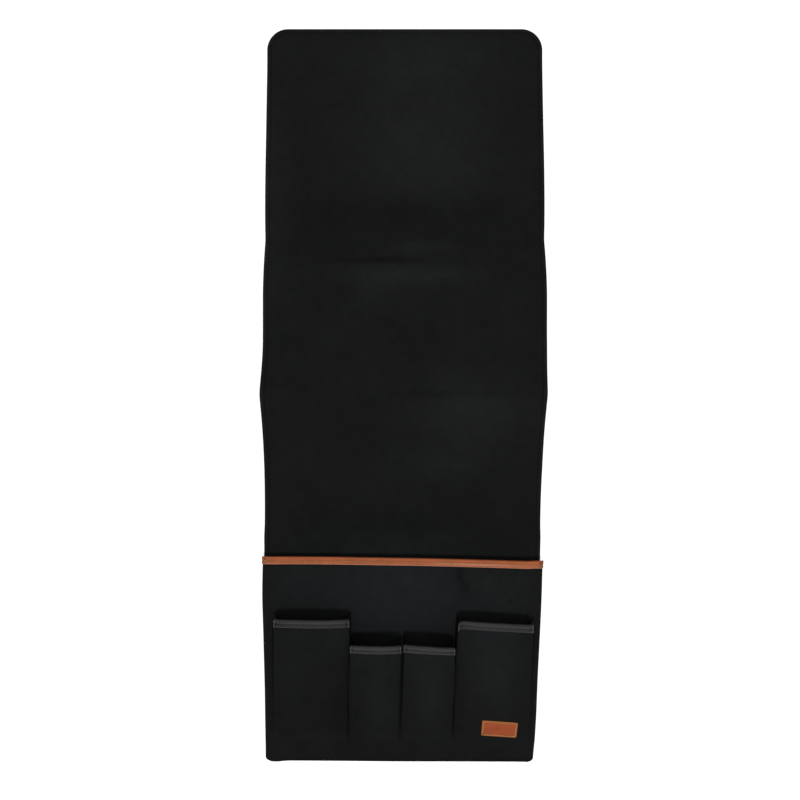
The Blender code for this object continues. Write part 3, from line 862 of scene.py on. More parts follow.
def small_front(pocket, across, share):
    """Middle surface of a small pocket's front at a share of its width and of its height.

    Below its foot it dives into the large front, to which it is sewn.
    """
    x = pocket.left + pocket.width * across
    y = SMALL_BOTTOM + share * (small_mouth(pocket, x) - SMALL_BOTTOM)
    left_corner = corner_inset(pocket.width * across, MOUTH_CORNER.get(pocket.name, 0.0012))
    right_corner = corner_inset(pocket.width * (1 - across), 0.0012)
    corner = (left_corner + right_corner) * np.clip(share, 0, 1) ** 8
    dive = (SMALL_THICKNESS + GAP + 0.0002) * ease((SMALL_BOTTOM + 0.006 - y) / (SMALL_HEM + 0.006))
    from_side = pocket.width * np.minimum(across, 1 - across)
    curl = side_curl(from_side, 0.0032, 0.0013) * ease(share / 0.10 + 0.2)
    z = small_under(pocket, x, y) + SMALL_THICKNESS / 2 - dive - curl
    inwards = side_shift(pocket, 0, share) * (1 - across) - side_shift(pocket, 1, share) * across
    return np.stack([x - lean(x, y) + inwards, y - corner, z], axis=-1)


def add_front(pocket, grid, thickness, marks):
    """A pocket's front as a closed sheet round its grid, in place of its CAD part."""
    front = slab(pocket + "_front", grid, thickness, "black_woven_cloth", cloth_uv(grid), marks)
    body = pocket + "_pocket"
    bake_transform(front)
    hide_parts(body + "_front")


def gusset(side_x, inward, low, high, start, end, drops, fold, slack, spread, seed):
    """A pleated side wall from the surface below to a front's underside.

    It folds inwards by fold times its height where it is half way up: 1 − |2u − 1|^1.3. The
    open mouth pulls this pleat out by the share slack. Its lower edge stands out by spread
    times its height. Its mouth end slants. Returns its grid and each point's share of the height.
    """
    along = np.concatenate([[0, 0.006, 0.016], np.linspace(0.03, 0.98, 44), [0.99, 1]])[:, None]
    up = np.linspace(0, 1, 17)[None, :]
    y = start + along * (end - drops[0] - (drops[1] - drops[0]) * up - start)
    edge = side_x(y)
    top = high(edge, y) - GUSSET_CLEARANCE
    foot = edge - inward * spread * (top - low(edge, y))
    bottom = low(foot, y) + GUSSET_CLEARANCE
    fold = fold * (1 - slack * ease((along - 0.5) / 0.45))
    depth = (top - bottom) * (fold * (1 - np.abs(2 * up - 1) ** 1.3) - spread * (1 - up))
    sway = 0.0006 * waves(y, up * 0.03, 0.05, seed) * np.sin(math.pi * up) * ease(along / 0.3)
    x = edge + inward * (depth + np.abs(sway))
    grid = np.stack([x, y, bottom + (top - bottom) * up], axis=-1)
    up = np.broadcast_to(up, y.shape)
    return (grid, up) if inward < 0 else (grid[:, ::-1], up[:, ::-1])


def add_gusset(pocket, side, parent, wall, share):
    """A gusset between the two cloths that it is sewn to, as a closed sheet round its wall.
    """
    uv = cloth_uv(wall)
    # The gusset is painted in shade all over, twice, and lit paints a highlight along its mouth end.
    lit = 0.5 * bell(uv[-1:, :, 1] - uv[..., 1], 0.0012)
    marks = {"wear": lit, "nap": lit - 0.5, "cool": 0, "turned": 1 - lit}
    name = f"{pocket}_gusset_{side}"
    obj = slab(name, wall, GUSSET_THICKNESS, "black_woven_cloth", uv, marks)
    body = pocket + "_pocket"
    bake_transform(obj)
    share = share.ravel()
    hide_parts(f"{body}_gusset_{side}")
    return name


# Leather over the mouths


def binding_section(thickness, leg_length):
    """A binding's path round a mouth: how far along the front and off its middle, for each row.

    The outer leg has two low cushions with the stitch row pressed in between them. The leather
    then turns over the mouth edge in a half circle and comes down inside.
    """
    leg = np.concatenate([[0, 0.03, 0.08], np.linspace(0.15, SEAM_AT, 6), np.linspace(0.61, 1, 6)])
    low = np.clip(leg / SEAM_AT, 0, 1)
    high = np.clip((leg - SEAM_AT) / (1 - SEAM_AT), 0, 1)
    cushion = np.sqrt(np.clip(np.sin(math.pi * low), 0, 1)) * (leg < SEAM_AT)
    roll = np.sqrt(np.clip(np.sin(math.pi * 0.60 * high), 0, 1)) * (leg > SEAM_AT)
    puff = 0.00060 * cushion + 0.00080 * roll
    rest = thickness / 2 + LEATHER / 2 + 0.00005
    outer = rest + puff
    turn = np.linspace(math.pi / 2, -math.pi / 2, 9)[1:]
    radius, middle = (outer[-1] + rest) / 2, (outer[-1] - rest) / 2
    inner = np.linspace(0, 1, 7)[1:]
    along = np.concatenate([-leg_length * (1 - leg), radius * np.cos(turn), -leg_length * inner])
    off = np.concatenate([outer, middle + radius * np.sin(turn), rest * (0 * inner - 1)])
    return along, off, puff, int(np.argmin(np.abs(leg - SEAM_AT)))


def bind_mouth(surface, width, thickness, binding):
    """A strip of leather folded over a front's mouth.

    surface gives the front's middle at a share across and a share up. The section is carried
    along the mouth edge in the plane of the front's own slope and normal. At each tack the
    cushions are pressed flat, and every stitch draws them down a little.
    """
    start, end = -binding.past[0] / width, 1 + binding.past[1] / width
    across = np.linspace(start, end, math.ceil(width / 0.0006) + 1)
    edge = surface(across, 1 + 0 * across)
    toward = unit(edge - surface(across, 0.97 + 0 * across))
    normal = unit(np.cross(np.gradient(edge, axis=0), toward))
    along, off, puff, seam = binding_section(thickness, binding.leg)
    from_end = np.minimum(across, 1 - across) * width
    pulled = 0.5 + 0.5 * np.cos(2 * math.pi * (across - 0.5) * width / binding.pitch)
    lost = np.zeros((len(off), len(across)))
    lost[: len(puff)] = 0.00025 * pulled * bell(np.arange(len(puff)) - seam, 3.0)[:, None]
    lost[: len(puff)] += (puff[:, None] + 0.0003) * bell(from_end - binding.tack, PRESS)
    uneven = 0.00010 * waves(across[None, :] * width, along[:, None], 0.014, int(width * 1e4))
    raised = off[:, None] - lost + uneven * (off[:, None] > 0)
    grid = edge[None] + along[:, None, None] * toward[None] + raised[..., None] * normal[None]
    return grid, seam, across * width, len(puff)


def binding_lines(grid, seam, places, outer_rows, binding, bar_tack):
    """Points and ups of a binding's stitch lines: outside, inside, at both tacks and the bar tack.

    The bar tack climbs and falls between the outer leg's two edges, column by column.
    """
    normals = normals_of(grid)
    tacks = places[0] + binding.tack, places[-1] - binding.tack
    ends = [int(np.argmin(np.abs(places - tack))) for tack in tacks]
    leg = np.arange(1, outer_rows - 1)
    columns = np.flatnonzero(places - places[0] < bar_tack)[1::3]
    climb = np.where(np.arange(len(columns)) % 2, 1, outer_rows - 2)
    picks = [(seam, slice(None)), (len(grid) - 4, slice(None)), (leg, ends[0]), (leg, ends[1])]
    picks += [(climb, columns)] if bar_tack else []
    return [(grid[pick] + normals[pick] * LEATHER / 2, normals[pick]) for pick in picks]


def add_binding(pocket, surface, width, thickness, binding):
    """A bound mouth with its row of stitches on both sides and a short tack at each end."""
    grid, seam, places, outer_rows = bind_mouth(surface, width, thickness, binding)
    uv = cloth_uv(grid)
    rows = np.arange(len(grid))[:, None]
    rim = np.minimum(places - places[0], places[-1] - places)[None, :]
    # A highlight is painted where shine puts it, on top of the wear along the outer leg's lower edge and at
    # its ends.
    place, spread, strength, above = binding.shine
    painted_highlight = strength * bell(places - place, spread)[None, :] * bell(rows - seam - above, 2.0)
    edge = (0.85 + painted_highlight) * bell(uv[..., 1], 0.0008)
    worn_end = (1 - binding.burnt) * bell(rim, 0.0012)
    # The stitch groove and the tacks, where the leather is pressed, get painted shade.
    pressed = np.maximum(bell(rows - seam, 1.2), bell(rim - binding.tack, PRESS))
    marks = {
        "wear": np.clip(np.maximum(edge, worn_end) + painted_highlight, 0, 1),
        "pressed": np.where(rows < outer_rows, pressed, 0),
        "burnt": binding.burnt * np.maximum(bell(rows - outer_rows - 2, 0.9), bell(rim, 0.0008)),
    }
    obj = slab(pocket + "_binding", grid, LEATHER, binding.leather, uv, marks)
    lines = binding_lines(grid, seam, places, outer_rows, binding, BAR_TACKS.get(pocket, 0))
    sewn = [sewn_along(line, binding.pitch, ups, binding.pitch * BINDING_SEAM_START) for line, ups in lines]
    sewn = [np.concatenate(each) for each in zip(*sewn)]
    name = pocket + "_binding_seam"
    sewing = stitches(name, sewn, binding.sewing, binding.pitch * BINDING_STITCH, binding.thread)
    for piece in (obj, sewing):
        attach(piece, pocket + "_pocket")
    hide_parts(pocket + "_pocket_binding")


def label_points(across, along, lift):
    """Places on the tall right pocket's front, turned a little, lifted square to the front."""
    pocket = POCKETS[3]
    x = LABEL_CENTRE[0] + across * math.cos(LABEL_TURN) - along * math.sin(LABEL_TURN)
    y = LABEL_CENTRE[1] + across * math.sin(LABEL_TURN) + along * math.cos(LABEL_TURN)

    def front(x, y):
        """The front's upper side at a place as it lies: the lean is added back first."""
        flat_x = x + lean(x, y)
        share = (y - SMALL_BOTTOM) / (small_mouth(pocket, flat_x) - SMALL_BOTTOM)
        place = small_front(pocket, (flat_x - pocket.left) / pocket.width, share)
        return place + np.array([0, 0, SMALL_THICKNESS / 2])

    here = front(x, y)
    step = NORMAL_STEP
    normal = unit(np.cross(front(x + step, y) - here, front(x, y + step) - here))
    return here + normal * lift[..., None], normal


def label_rim(inset):
    """The label's section: pressed in along its seam in a bell, a little raised inside it."""
    inside = ease((inset - LABEL_SEAM) / 0.003)
    lift = LABEL_THICKNESS / 2 + 0.00005 + 0.0002 * inside
    return inset, lift - 0.00012 * bell(inset - LABEL_SEAM, 0.0006)


# Finishes


class Nodes:
    """A node tree with short ways to add to it."""

    def __init__(self, tree):
        """Keeps the tree that every method adds to."""
        self.tree = tree

    def put(self, socket, value):
        """Links a socket, or sets a plain value; a colour gets its fourth channel."""
        if isinstance(value, bpy.types.NodeSocket):
            self.tree.links.new(value, socket)
        elif isinstance(value, tuple) and socket.type == "RGBA":
            socket.default_value = (*value, 1)
        else:
            socket.default_value = value

    def node(self, kind, output, inputs=None, **settings):
        """Adds a node, gives its inputs a value or a link each, and returns one output."""
        made = self.tree.nodes.new(kind)
        for name, value in settings.items():
            setattr(made, name, value)
        for name, value in (inputs or {}).items():
            self.put(made.inputs[name], value)
        return made.outputs[output]

    def math(self, operation, *values):
        """One calculation, with a number or a link for each of its inputs."""
        return self.node("ShaderNodeMath", 0, dict(enumerate(values)), operation=operation)

    def seen(self):
        """1 for what the camera, reflections and clear things see, 0 for what lights the object."""
        rays = ("Is Camera Ray", "Is Glossy Ray", "Is Transmission Ray")
        camera, glossy, clear = (self.node("ShaderNodeLightPath", ray) for ray in rays)
        return self.math("MAXIMUM", self.math("MAXIMUM", camera, glossy), clear)


class Finish(Nodes):
    """A material whose colour is built up from tones of a base colour, and its bumps from heights."""

    def __init__(self, name, base, first, specular, sheen=0.0):
        """Starts with the base colour times first."""
        self.material = bpy.data.materials.new(name)
        self.material.use_nodes = True
        super().__init__(self.material.node_tree)
        self.shader = self.tree.nodes["Principled BSDF"].inputs
        self.shader["Specular IOR Level"].default_value = specular
        self.shader["Sheen Weight"].default_value = sheen
        self.shader["Sheen Roughness"].default_value = 0.45
        self.place = self.node("ShaderNodeTexCoord", "Object")
        self.base = base
        self.colour = self.tone(first)
        self.bump = None

    def tone(self, factor):
        """The base colour, each channel times the factor."""
        return tuple(channel * factor for channel in self.base)

    def noise(self, scale, detail=3.0, rough=0.5, distort=0.0, place=None):
        """Smooth noise about 0.5, with scale waves to the metre."""
        return self.node("ShaderNodeTexNoise", "Fac", {
            "Vector": place or self.place, "Scale": scale, "Detail": detail,
            "Roughness": rough, "Distortion": distort,
        })

    def cells(self, scale, feature="F1"):
        """Distance to the nearest of strewn points, or to the edge between two."""
        inputs = {"Vector": self.place, "Scale": scale}
        return self.node("ShaderNodeTexVoronoi", "Distance", inputs, feature=feature)

    def spread(self, value, low, high, to_low=0.0, to_high=1.0, curve="SMOOTHSTEP"):
        """Carries low to high onto to_low to to_high and holds both ends."""
        names = ("Value", "From Min", "From Max", "To Min", "To Max")
        inputs = dict(zip(names, (value, low, high, to_low, to_high)))
        return self.node("ShaderNodeMapRange", "Result", inputs, interpolation_type=curve)

    def mix(self, share, first, second, blend="MIX"):
        """The first colour times 1 − share plus the second, or their product, times share."""
        inputs = {0: share, 6: first, 7: second}
        return self.node("ShaderNodeMix", 2, inputs, data_type="RGBA", blend_type=blend)

    def tint(self, share, factor):
        """Mixes in the base colour times a factor."""
        self.colour = self.mix(share, self.colour, self.tone(factor))

    def shade(self, share, factors):
        """Mixes in the colour multiplied by factors."""
        self.colour = self.mix(share, self.colour, self.mix(1.0, self.colour, factors, "MULTIPLY"))

    def stretched(self, scale, place=None):
        """A place with each axis times its own scale."""
        return self.node("ShaderNodeMapping", "Vector", {"Vector": place or self.place, "Scale": scale})

    def mark(self, name):
        """The piece's own value of this name at each point."""
        return self.node("ShaderNodeAttribute", "Fac", attribute_name=name)

    def cloth_place(self):
        """The u and v of the piece's own cloth map, in metres, and both together."""
        uv = self.node("ShaderNodeUVMap", "UV", uv_map="cloth")
        return (*(self.node("ShaderNodeSeparateXYZ", axis, {0: uv}) for axis in "XY"), uv)

    def raise_by(self, height, distance, strength):
        """Tilts the normal by the slope of height times distance."""
        inputs = {"Height": height, "Distance": distance, "Strength": strength}
        if self.bump:
            inputs["Normal"] = self.bump
        self.bump = self.node("ShaderNodeBump", "Normal", inputs)

    def close(self, roughness):
        """Puts the colour, the roughness and the bumps on the shader."""
        self.put(self.shader["Base Color"], self.colour)
        self.put(self.shader["Roughness"], roughness)
        if self.bump:
            self.put(self.shader["Normal"], self.bump)
        return self.material


def nap(grid, lower=0.0):
    """Painted light and shade, and painted blue sheen: the sum of the patches' bells, less lower."""
    light, cool = -lower + 0 * grid[..., 0], 0 * grid[..., 0]
    for x, y, wide, long, strength, blue in PAINTED_LIGHT_PATCHES:
        patch = strength * bell(grid[..., 0] - x, wide) * bell(grid[..., 1] - y, long)
        light, cool = light + patch, cool + blue * np.maximum(patch, 0)
    return {"nap": light, "cool": np.clip(cool, 0, 1)}


def woven_cloth(name, base):
    """Plain weave: each yarn is a ridge that rises and sinks in turn, warp against weft."""
    made = Finish(name, base, 1, 0.02, sheen=0.01)
    u, v, uv = made.cloth_place()
    warp, weft = (made.math("SINE", made.math("MULTIPLY", at, math.pi / sizes().yarn)) for at in (u, v))
    over = made.spread(made.math("MULTIPLY", warp, weft), -0.6, 0.6)
    warp_ridge = made.math("MULTIPLY", made.math("ABSOLUTE", warp), over)
    weft_ridge = made.math("MULTIPLY", made.math("ABSOLUTE", weft), made.math("SUBTRACT", 1.0, over))
    weave = made.math("MAXIMUM", warp_ridge, weft_ridge)
    slub, cross_slub = (
        made.noise(1.0, 2.0, place=made.stretched(scale, uv)) for scale in ((60, 1400, 60), (1400, 60, 60))
    )
    streak = made.math("ADD", slub, cross_slub)
    cloud = made.noise(22.0, 3.0, 0.55)
    patch = made.noise(75.0, 3.0, 0.6)
    fuzz = made.noise(2600.0, 2.0, 0.7)
    lint = made.cells(190.0)
    made.tint(made.spread(cloud, 0.32, 0.68, 0, 0.30), 0.70)
    made.tint(made.spread(patch, 0.40, 0.75, 0, 0.35), 1.45)
    made.tint(made.spread(streak, 0.80, 1.25, 0, 0.35), 1.6)
    made.tint(made.spread(weave, 0.15, 0.85, 0.45, 0), 0.45)
    made.tint(made.spread(fuzz, 0.62, 0.80, 0, 0.45), 3.2)
    made.tint(made.spread(lint, 0.035, 0.060, 0.5, 0), 6.0)
    # Lighter where worn, and where a highlight is painted on the gussets' mouth ends.
    made.tint(made.math("MULTIPLY", made.mark("wear"), made.spread(patch, 0.30, 0.70, 0.15, 0.60)), 1.9)
    # The patches' mark paints light and shade: it scales the colour from 0.58 to 1.56 times.
    made.shade(1.0, made.mix(made.spread(made.mark("nap"), -0.9, 1.2), (0.58,) * 3, (1.56,) * 3))
    # A blue tint painted with the lighter patches, as a painted sheen.
    made.shade(made.mark("cool"), (0.95, 0.98, 1.14))
    # turned paints shade: the gussets' cloth at 0.45 times its colour, as inside a pocket.
    made.shade(made.mark("turned"), (0.45, 0.45, 0.45))
    made.raise_by(made.noise(140.0, 3.0, 0.6), 0.0006, 0.35)
    made.raise_by(weave, 0.00012, 0.55)
    made.raise_by(fuzz, 0.00006, 0.4)
    return made.close(made.spread(cloud, 0.3, 0.7, 0.80, 0.93))


def grip_backing(name, base):
    """A smooth dark underside with a staggered grid of small raised rubber dots."""
    pitch = sizes().grip_dot
    made = Finish(name, base, 0.8, 0.30)
    u, v, uv = made.cloth_place()

    def dots(shift):
        """1 within 0.9 mm of the nearest dot's middle, by √(u² + v²), and 0 past 1.4 mm."""
        from_u, from_v = (
            made.math("PINGPONG", made.math("ADD", at, shift * pitch), pitch / 2) for at in (u, v)
        )
        square = made.math("MULTIPLY", from_u, from_u)
        distance = made.math("SQRT", made.math("MULTIPLY_ADD", from_v, from_v, square))
        return made.spread(distance, 0.0009, 0.0014, 1, 0)

    dot = made.math("MAXIMUM", dots(0.0), dots(0.5))
    knit = made.noise(1.0, 2.0, place=made.stretched((1500, 500, 500), uv))
    made.tint(made.spread(made.noise(35.0, 4.0, 0.6), 0.35, 0.7), 1.35)
    made.tint(made.spread(knit, 0.35, 0.65, 0, 0.4), 1.8)
    made.tint(dot, 0.65)
    made.raise_by(knit, 0.00010, 0.4)
    made.raise_by(dot, 0.00035, 0.8)
    return made.close(made.spread(dot, 0, 1, 0.82, 0.48))


def leather(name, base, specular, bright, smooth=0.40):
    """Grained leather: small cells, creased between, mottled, paler at worn edges and painted highlights."""
    made = Finish(name, base, 0.84, specular, sheen=0.03)
    mottle = made.noise(180.0, 4.0, 0.65)
    between = made.cells(620.0, "DISTANCE_TO_EDGE")
    scratch = made.noise(1.0, 3.0, 0.6, place=made.stretched((90, 1100, 300)))
    made.tint(made.spread(made.noise(38.0, 3.0, 0.55), 0.30, 0.70), 1.14)
    made.tint(made.spread(mottle, 0.42, 0.72, 0, 0.5), 1.3)
    made.tint(made.spread(between, 0.0, 0.10, 0.45, 0), 0.55)
    made.tint(made.spread(scratch, 0.60, 0.75, 0, 0.35), 1.5)
    # Painted shade in the pressed stitch grooves and at the tacks.
    made.tint(made.math("MULTIPLY", made.mark("pressed"), 0.90), 0.15)
    # Worn places and painted highlights turn to the bright colour.
    wear = made.math("MULTIPLY", made.mark("wear"), made.spread(mottle, 0.2, 0.6, 0.45, 0.95))
    made.colour = made.mix(wear, made.colour, bright)
    # Dark brown: edge paint at the binding's ends, and painted shade on its fold over the mouth.
    made.colour = made.mix(made.mark("burnt"), made.colour, (0.055, 0.009, 0.002))
    made.raise_by(mottle, 0.00025, 0.35)
    made.raise_by(made.spread(between, 0.0, 0.16), 0.00014, 0.6)
    made.raise_by(made.cells(1500.0, "SMOOTH_F1"), 0.00008, 0.5)
    rough = made.spread(mottle, 0.3, 0.7, smooth, smooth + 0.16)
    return made.close(made.math("MULTIPLY_ADD", made.mark("wear"), 0.2, rough))


def sewing_thread(name, base, specular):
    """Twisted thread: slanting strands from the sum of the run and the way round it."""
    made = Finish(name, base, 0.8, specular)
    u, v, _ = made.cloth_place()
    turn = made.math("MULTIPLY", made.math("MULTIPLY_ADD", v, 1.2, u), math.pi / 0.0005)
    strand = made.math("ABSOLUTE", made.math("SINE", turn))
    fibre = made.noise(3500.0, 2.0, 0.7)
    made.tint(made.spread(made.noise(120.0, 2.0), 0.3, 0.7), 1.2)
    made.tint(made.spread(strand, 0.1, 0.6, 0.55, 0), 0.4)
    made.tint(made.spread(fibre, 0.55, 0.75, 0, 0.4), 1.7)
    made.raise_by(strand, 0.00008, 0.7)
    return made.close(made.spread(fibre, 0.3, 0.7, 0.5, 0.7))


def needled_felt(name, base):
    """Felt: fibres lying three ways, each a noise stretched along its own heading."""
    made = Finish(name, base, 0.6, 0.15, sheen=0.2)
    headings = (120, 2200, 800), (2200, 150, 800)
    fibre = made.math("ADD", *(made.noise(1.0, 3.0, 0.6, 1.5, made.stretched(each)) for each in headings))
    third = made.noise(900.0, 3.0, 0.7, 2.0)
    made.tint(made.spread(fibre, 0.8, 1.2), 1.4)
    made.tint(made.spread(third, 0.55, 0.75, 0, 0.6), 2.4)
    made.raise_by(fibre, 0.0003, 0.6)
    made.raise_by(third, 0.0002, 0.5)
    return made.close(made.spread(fibre, 0.8, 1.2, 0.85, 0.98))


def pressed_board(name, base):
    """Stiffener board: a pressed sheet with fine specks and a faint rolled texture."""
    made = Finish(name, base, 0.75, 0.30)
    rolled = made.noise(1.0, 3.0, place=made.stretched((40, 700, 200)))
    made.tint(made.spread(rolled, 0.3, 0.7), 1.3)
    made.tint(made.spread(made.cells(900.0), 0.05, 0.22, 0.5, 0), 3.5)
    made.raise_by(rolled, 0.0001, 0.5)
    return made.close(made.spread(rolled, 0.3, 0.7, 0.45, 0.6))


def pale_floor(name, base):
    """A pale matt floor, seen as white, that keeps the shadow near the object.

    Its glow rises with the distance from the object, as the lamp's light falls off.
    """
    made = Finish(name, base, 0.82, 0.1)
    distance = made.node("ShaderNodeVectorMath", "Value", {0: made.place}, operation="LENGTH")
    glow = made.spread(distance, 0.7, 2.6, 0.45, 0.80, "LINEAR")
    made.put(made.shader["Emission Color"], WHITE)
    made.put(made.shader["Emission Strength"], made.math("MULTIPLY", made.seen(), glow))
    return made.close(0.9)


def finish(name):
    """The material of this name, made the first time it is asked for."""
    colours = bpy.context.scene.organizer_colours
    maker, *words = {
        "black_woven_cloth": (woven_cloth, colours.cloth),
        "dotted_grip_backing": (grip_backing, colours.backing),
        "pressed_board": (pressed_board, colours.board),
        "needled_felt": (needled_felt, colours.felt),
        # After each leather's specular comes the colour that its worn places and painted highlights turn to.
        "tan_leather_grain": (leather, colours.tan, 0.14, (0.56, 0.29, 0.21)),
        "label_leather_grain": (leather, colours.label, 0.12, (0.46, 0.20, 0.055)),
        "grey_leather_grain": (leather, colours.grey, 0.17, (0.068, 0.068, 0.070), 0.33),
        "tan_thread": (sewing_thread, colours.tan_thread, 0.25),
        "grey_thread": (sewing_thread, colours.grey_thread, 0.12),
        "black_thread": (sewing_thread, colours.black_thread, 0.03),
        "pale_floor": (pale_floor, WHITE),
    }[name]
    return bpy.data.materials.get(name) or maker(name, *words)


# Operators


class ORGANIZER_OT_panel(Operator):
    """Make the panel's face and its dotted backing, each in three pieces that meet exactly"""

    bl_idname = "organizer.panel"
    bl_label = "Panel Cloth"

    def execute(self, context):
        """The face begins turned under by its rim's length, the backing a little in from the edge."""
        turned = RIM_INSET - RIM_LENGTH
        sewn_sheets("face", face_rim, turned, FACE_STEP, FACE, "black_woven_cloth")
        sewn_sheets(
            "backing", backing_rim, BACKING_START, BACKING_STEP, BACKING,
            "dotted_grip_backing",
        )
        return {"FINISHED"}


class ORGANIZER_OT_core(Operator):
    """Make the board and the three felts inside the panel"""

    bl_idname = "organizer.core"
    bl_label = "Board and Felt"

    def execute(self, context):
        """Each piece ends an inset from the edges and a gap from the folds."""
        half = HALF_WIDTH - CORE_INSET
        board = ("board", "pressed_board", "stiffener_board")
        felt = ("interlining", "needled_felt", "felt_core")
        for body, low, high, (kind, material, slot) in (
            ("pocket_section", POCKET_END + CORE_INSET, MOUTH_FOLD - CORE_GAP, board),
            ("arm_top", MOUTH_FOLD + CORE_GAP, RIDGE_FOLD - CORE_GAP, felt),
            ("inner_drop", RIDGE_FOLD + CORE_GAP, VALLEY_FOLD - CORE_GAP, felt),
            ("tuck_flap", VALLEY_FOLD + CORE_GAP, FLAP_END - CORE_INSET, felt),
        ):
            rows = np.linspace(low, high, math.ceil((high - low) / CORE_STEP) + 1)
            columns = np.linspace(-half, half, CORE_COLUMNS)
            grid, flat = panel_grid(columns, rows, lambda inset: (inset, CORE_MIDDLE))
            obj = slab("core_" + body, grid, CORE, material, flat)
            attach(obj, body)
            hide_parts(f"{body}_{kind}")
        return {"FINISHED"}


class ORGANIZER_OT_seams(Operator):
    """Sew round the panel's edge, on the face and on the underside"""

    bl_idname = "organizer.seams"
    bl_label = "Edge Stitching"

    def execute(self, context):
        """A stitch belongs to the piece between whose cuts its y lies."""
        for name, rim, side, thickness, lowest in (
            ("panel_seam_", face_rim, 1, FACE, LARGE_BOTTOM + LARGE_HEIGHT - SEAM_HIDDEN),
            ("panel_seam_under_", backing_rim, -1, BACKING, POCKET_END),
        ):
            seam = panel_seam(rim, side, thickness)
            y = seam[0][:, 1]
            for index, (piece, bodies, fold) in enumerate(PANEL_PIECES):
                pick = (y > lowest) & (np.digitize(y, SPLITS) == index)
                obj = stitches(name + piece, [values[pick] for values in seam], "black_thread")
                bend_over(obj)
        return {"FINISHED"}


class ORGANIZER_OT_large_pocket(Operator):
    """Make the large pocket's front, its two gussets and the stitches along its foot"""

    bl_idname = "organizer.large_pocket"
    bl_label = "Large Pocket"

    def execute(self, context):
        """A grid by shares of the width and height, then its foot seam, then a wall each side."""
        across = edge_columns(2 * HALF_WIDTH, FACE_STEP)
        hem = np.array(LARGE_HEM_PLACES)
        share = np.concatenate([hem * MM / LARGE_HEIGHT, np.linspace(0.023, 1, LARGE_ROWS)])
        grid = large_front(*np.meshgrid(across, share))
        from_side = np.minimum(across, 1 - across) * 2 * HALF_WIDTH
        # The front is worn at its sides, and the other marks paint patches of light and shade on it.
        marks = {"wear": bell(from_side, 0.0014), **nap(grid)}
        parent = "pocket_section"
        add_front("large", grid, LARGE_THICKNESS, marks)

        line = large_front(np.linspace(0.008, 0.992, 400), np.full(400, LARGE_SEAM / LARGE_HEIGHT))
        line[:, 2] += LARGE_THICKNESS / 2
        foot = stitches("large_foot_seam", sewn_along(line, sizes().stitch_pitch), "black_thread")
        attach(foot, parent)

        for side, inward, edge in (("left", 1, left_edge), ("right", -1, right_edge)):
            wall = gusset(
                lambda y: edge(y) + inward * GUSSET_SIDE, inward,
                lambda x, y: STACK - LARGE_GUSSET_SUNK[0] + 0 * y,
                lambda x, y: large_top(x, y) - LARGE_THICKNESS - LARGE_GUSSET_SUNK[1],
                LARGE_BOTTOM + LARGE_GUSSET_START, large_mouth(-inward * HALF_WIDTH),
                LARGE_GUSSET_DROPS, LARGE_FOLD / LARGE_DEPTH, 0.0, 0.0, 31 + inward,
            )
            add_gusset("large", side, parent, *wall)
        return {"FINISHED"}


class ORGANIZER_OT_large_binding(Operator):
    """Fold the tan leather over the large pocket's mouth and sew it"""

    bl_idname = "organizer.large_binding"
    bl_label = "Tan Binding"

    def execute(self, context):
        """One strip along the whole mouth."""
        add_binding("large", large_front, 2 * HALF_WIDTH, LARGE_THICKNESS, TAN_BINDING)
        return {"FINISHED"}


class ORGANIZER_OT_small_pockets(Operator):
    """Make the four small pockets' fronts, their gussets and the stitches along the outer feet"""

    bl_idname = "organizer.small_pockets"
    bl_label = "Small Pockets"

    def execute(self, context):
        """A front, then a left and a right wall, pocket by pocket."""
        for pocket in POCKETS:
            self.make_front(pocket)
            self.make_gusset(pocket, "left", 1, pocket.left)
            self.make_gusset(pocket, "right", -1, pocket.left + pocket.width)
        return {"FINISHED"}

    def make_front(self, pocket):
        """The front's grid, close at its hem and its sides, which are worn in a bell."""
        across = edge_columns(pocket.width, SMALL_STEP)
        hem = np.array(SMALL_HEM_PLACES)
        rows = math.ceil(pocket.height / SMALL_ROW_STEP)
        share = np.concatenate([hem * MM / pocket.height, np.linspace(0.034, 1, rows)])
        grid = small_front(pocket, *np.meshgrid(across, share))
        from_side = np.minimum(across, 1 - across) * pocket.width
        share = share[:, None]
        wear = 0.10 * bell(from_side, 0.0011) * ease(share / 0.4)
        # The patches paint light and shade, and above its foot the whole front is painted 0.16 darker in
        # shade.
        marks = {"wear": wear, **nap(grid, 0.16 * ease(share / 0.1))}
        add_front(pocket.name, grid, SMALL_THICKNESS, marks)

    def make_gusset(self, pocket, side, inward, edge_x):
        """A wall from the large front up to this one. An outer wall stands wider and is sewn down."""
        outer = math.isclose(abs(edge_x), SMALL_RIGHT)

        def side_x(y):
            """The straight side, less its draw and bulge, leant left."""
            shift = side_shift(pocket, int(inward < 0), (y - SMALL_BOTTOM) / pocket.height)
            return edge_x + inward * (GUSSET_SIDE + shift) - lean(edge_x, y)

        base = GUSSET_SIDE + (OUTER_GUSSET_BASE if outer else GUSSET_BASE)
        wall, share = gusset(
            side_x, inward, large_top,
            lambda x, y: small_under(pocket, x + lean(x, y), y) - SMALL_GUSSET_SUNK,
            SMALL_BOTTOM + SMALL_GUSSET_START, small_mouth(pocket, edge_x),
            SMALL_GUSSET_DROPS, SMALL_FOLD, SMALL_SLACK, base / pocket.depth, pocket.seed * 3 + inward,
        )
        name = add_gusset(pocket.name, side, "large_pocket", wall, share)
        if outer:
            foot = wall[2:-4, int(np.argmin(share[0]))]
            x, y = foot[:, 0] - inward * OUTER_SEAM[0], foot[:, 1]
            line = np.stack([x, y, large_top(x, y) + OUTER_SEAM[1]], axis=1)
            sewn = sewn_along(line, sizes().stitch_pitch)
            seam = stitches(name + "_seam", sewn, "black_thread", *OUTER_STITCH)
            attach(seam, "large_pocket")


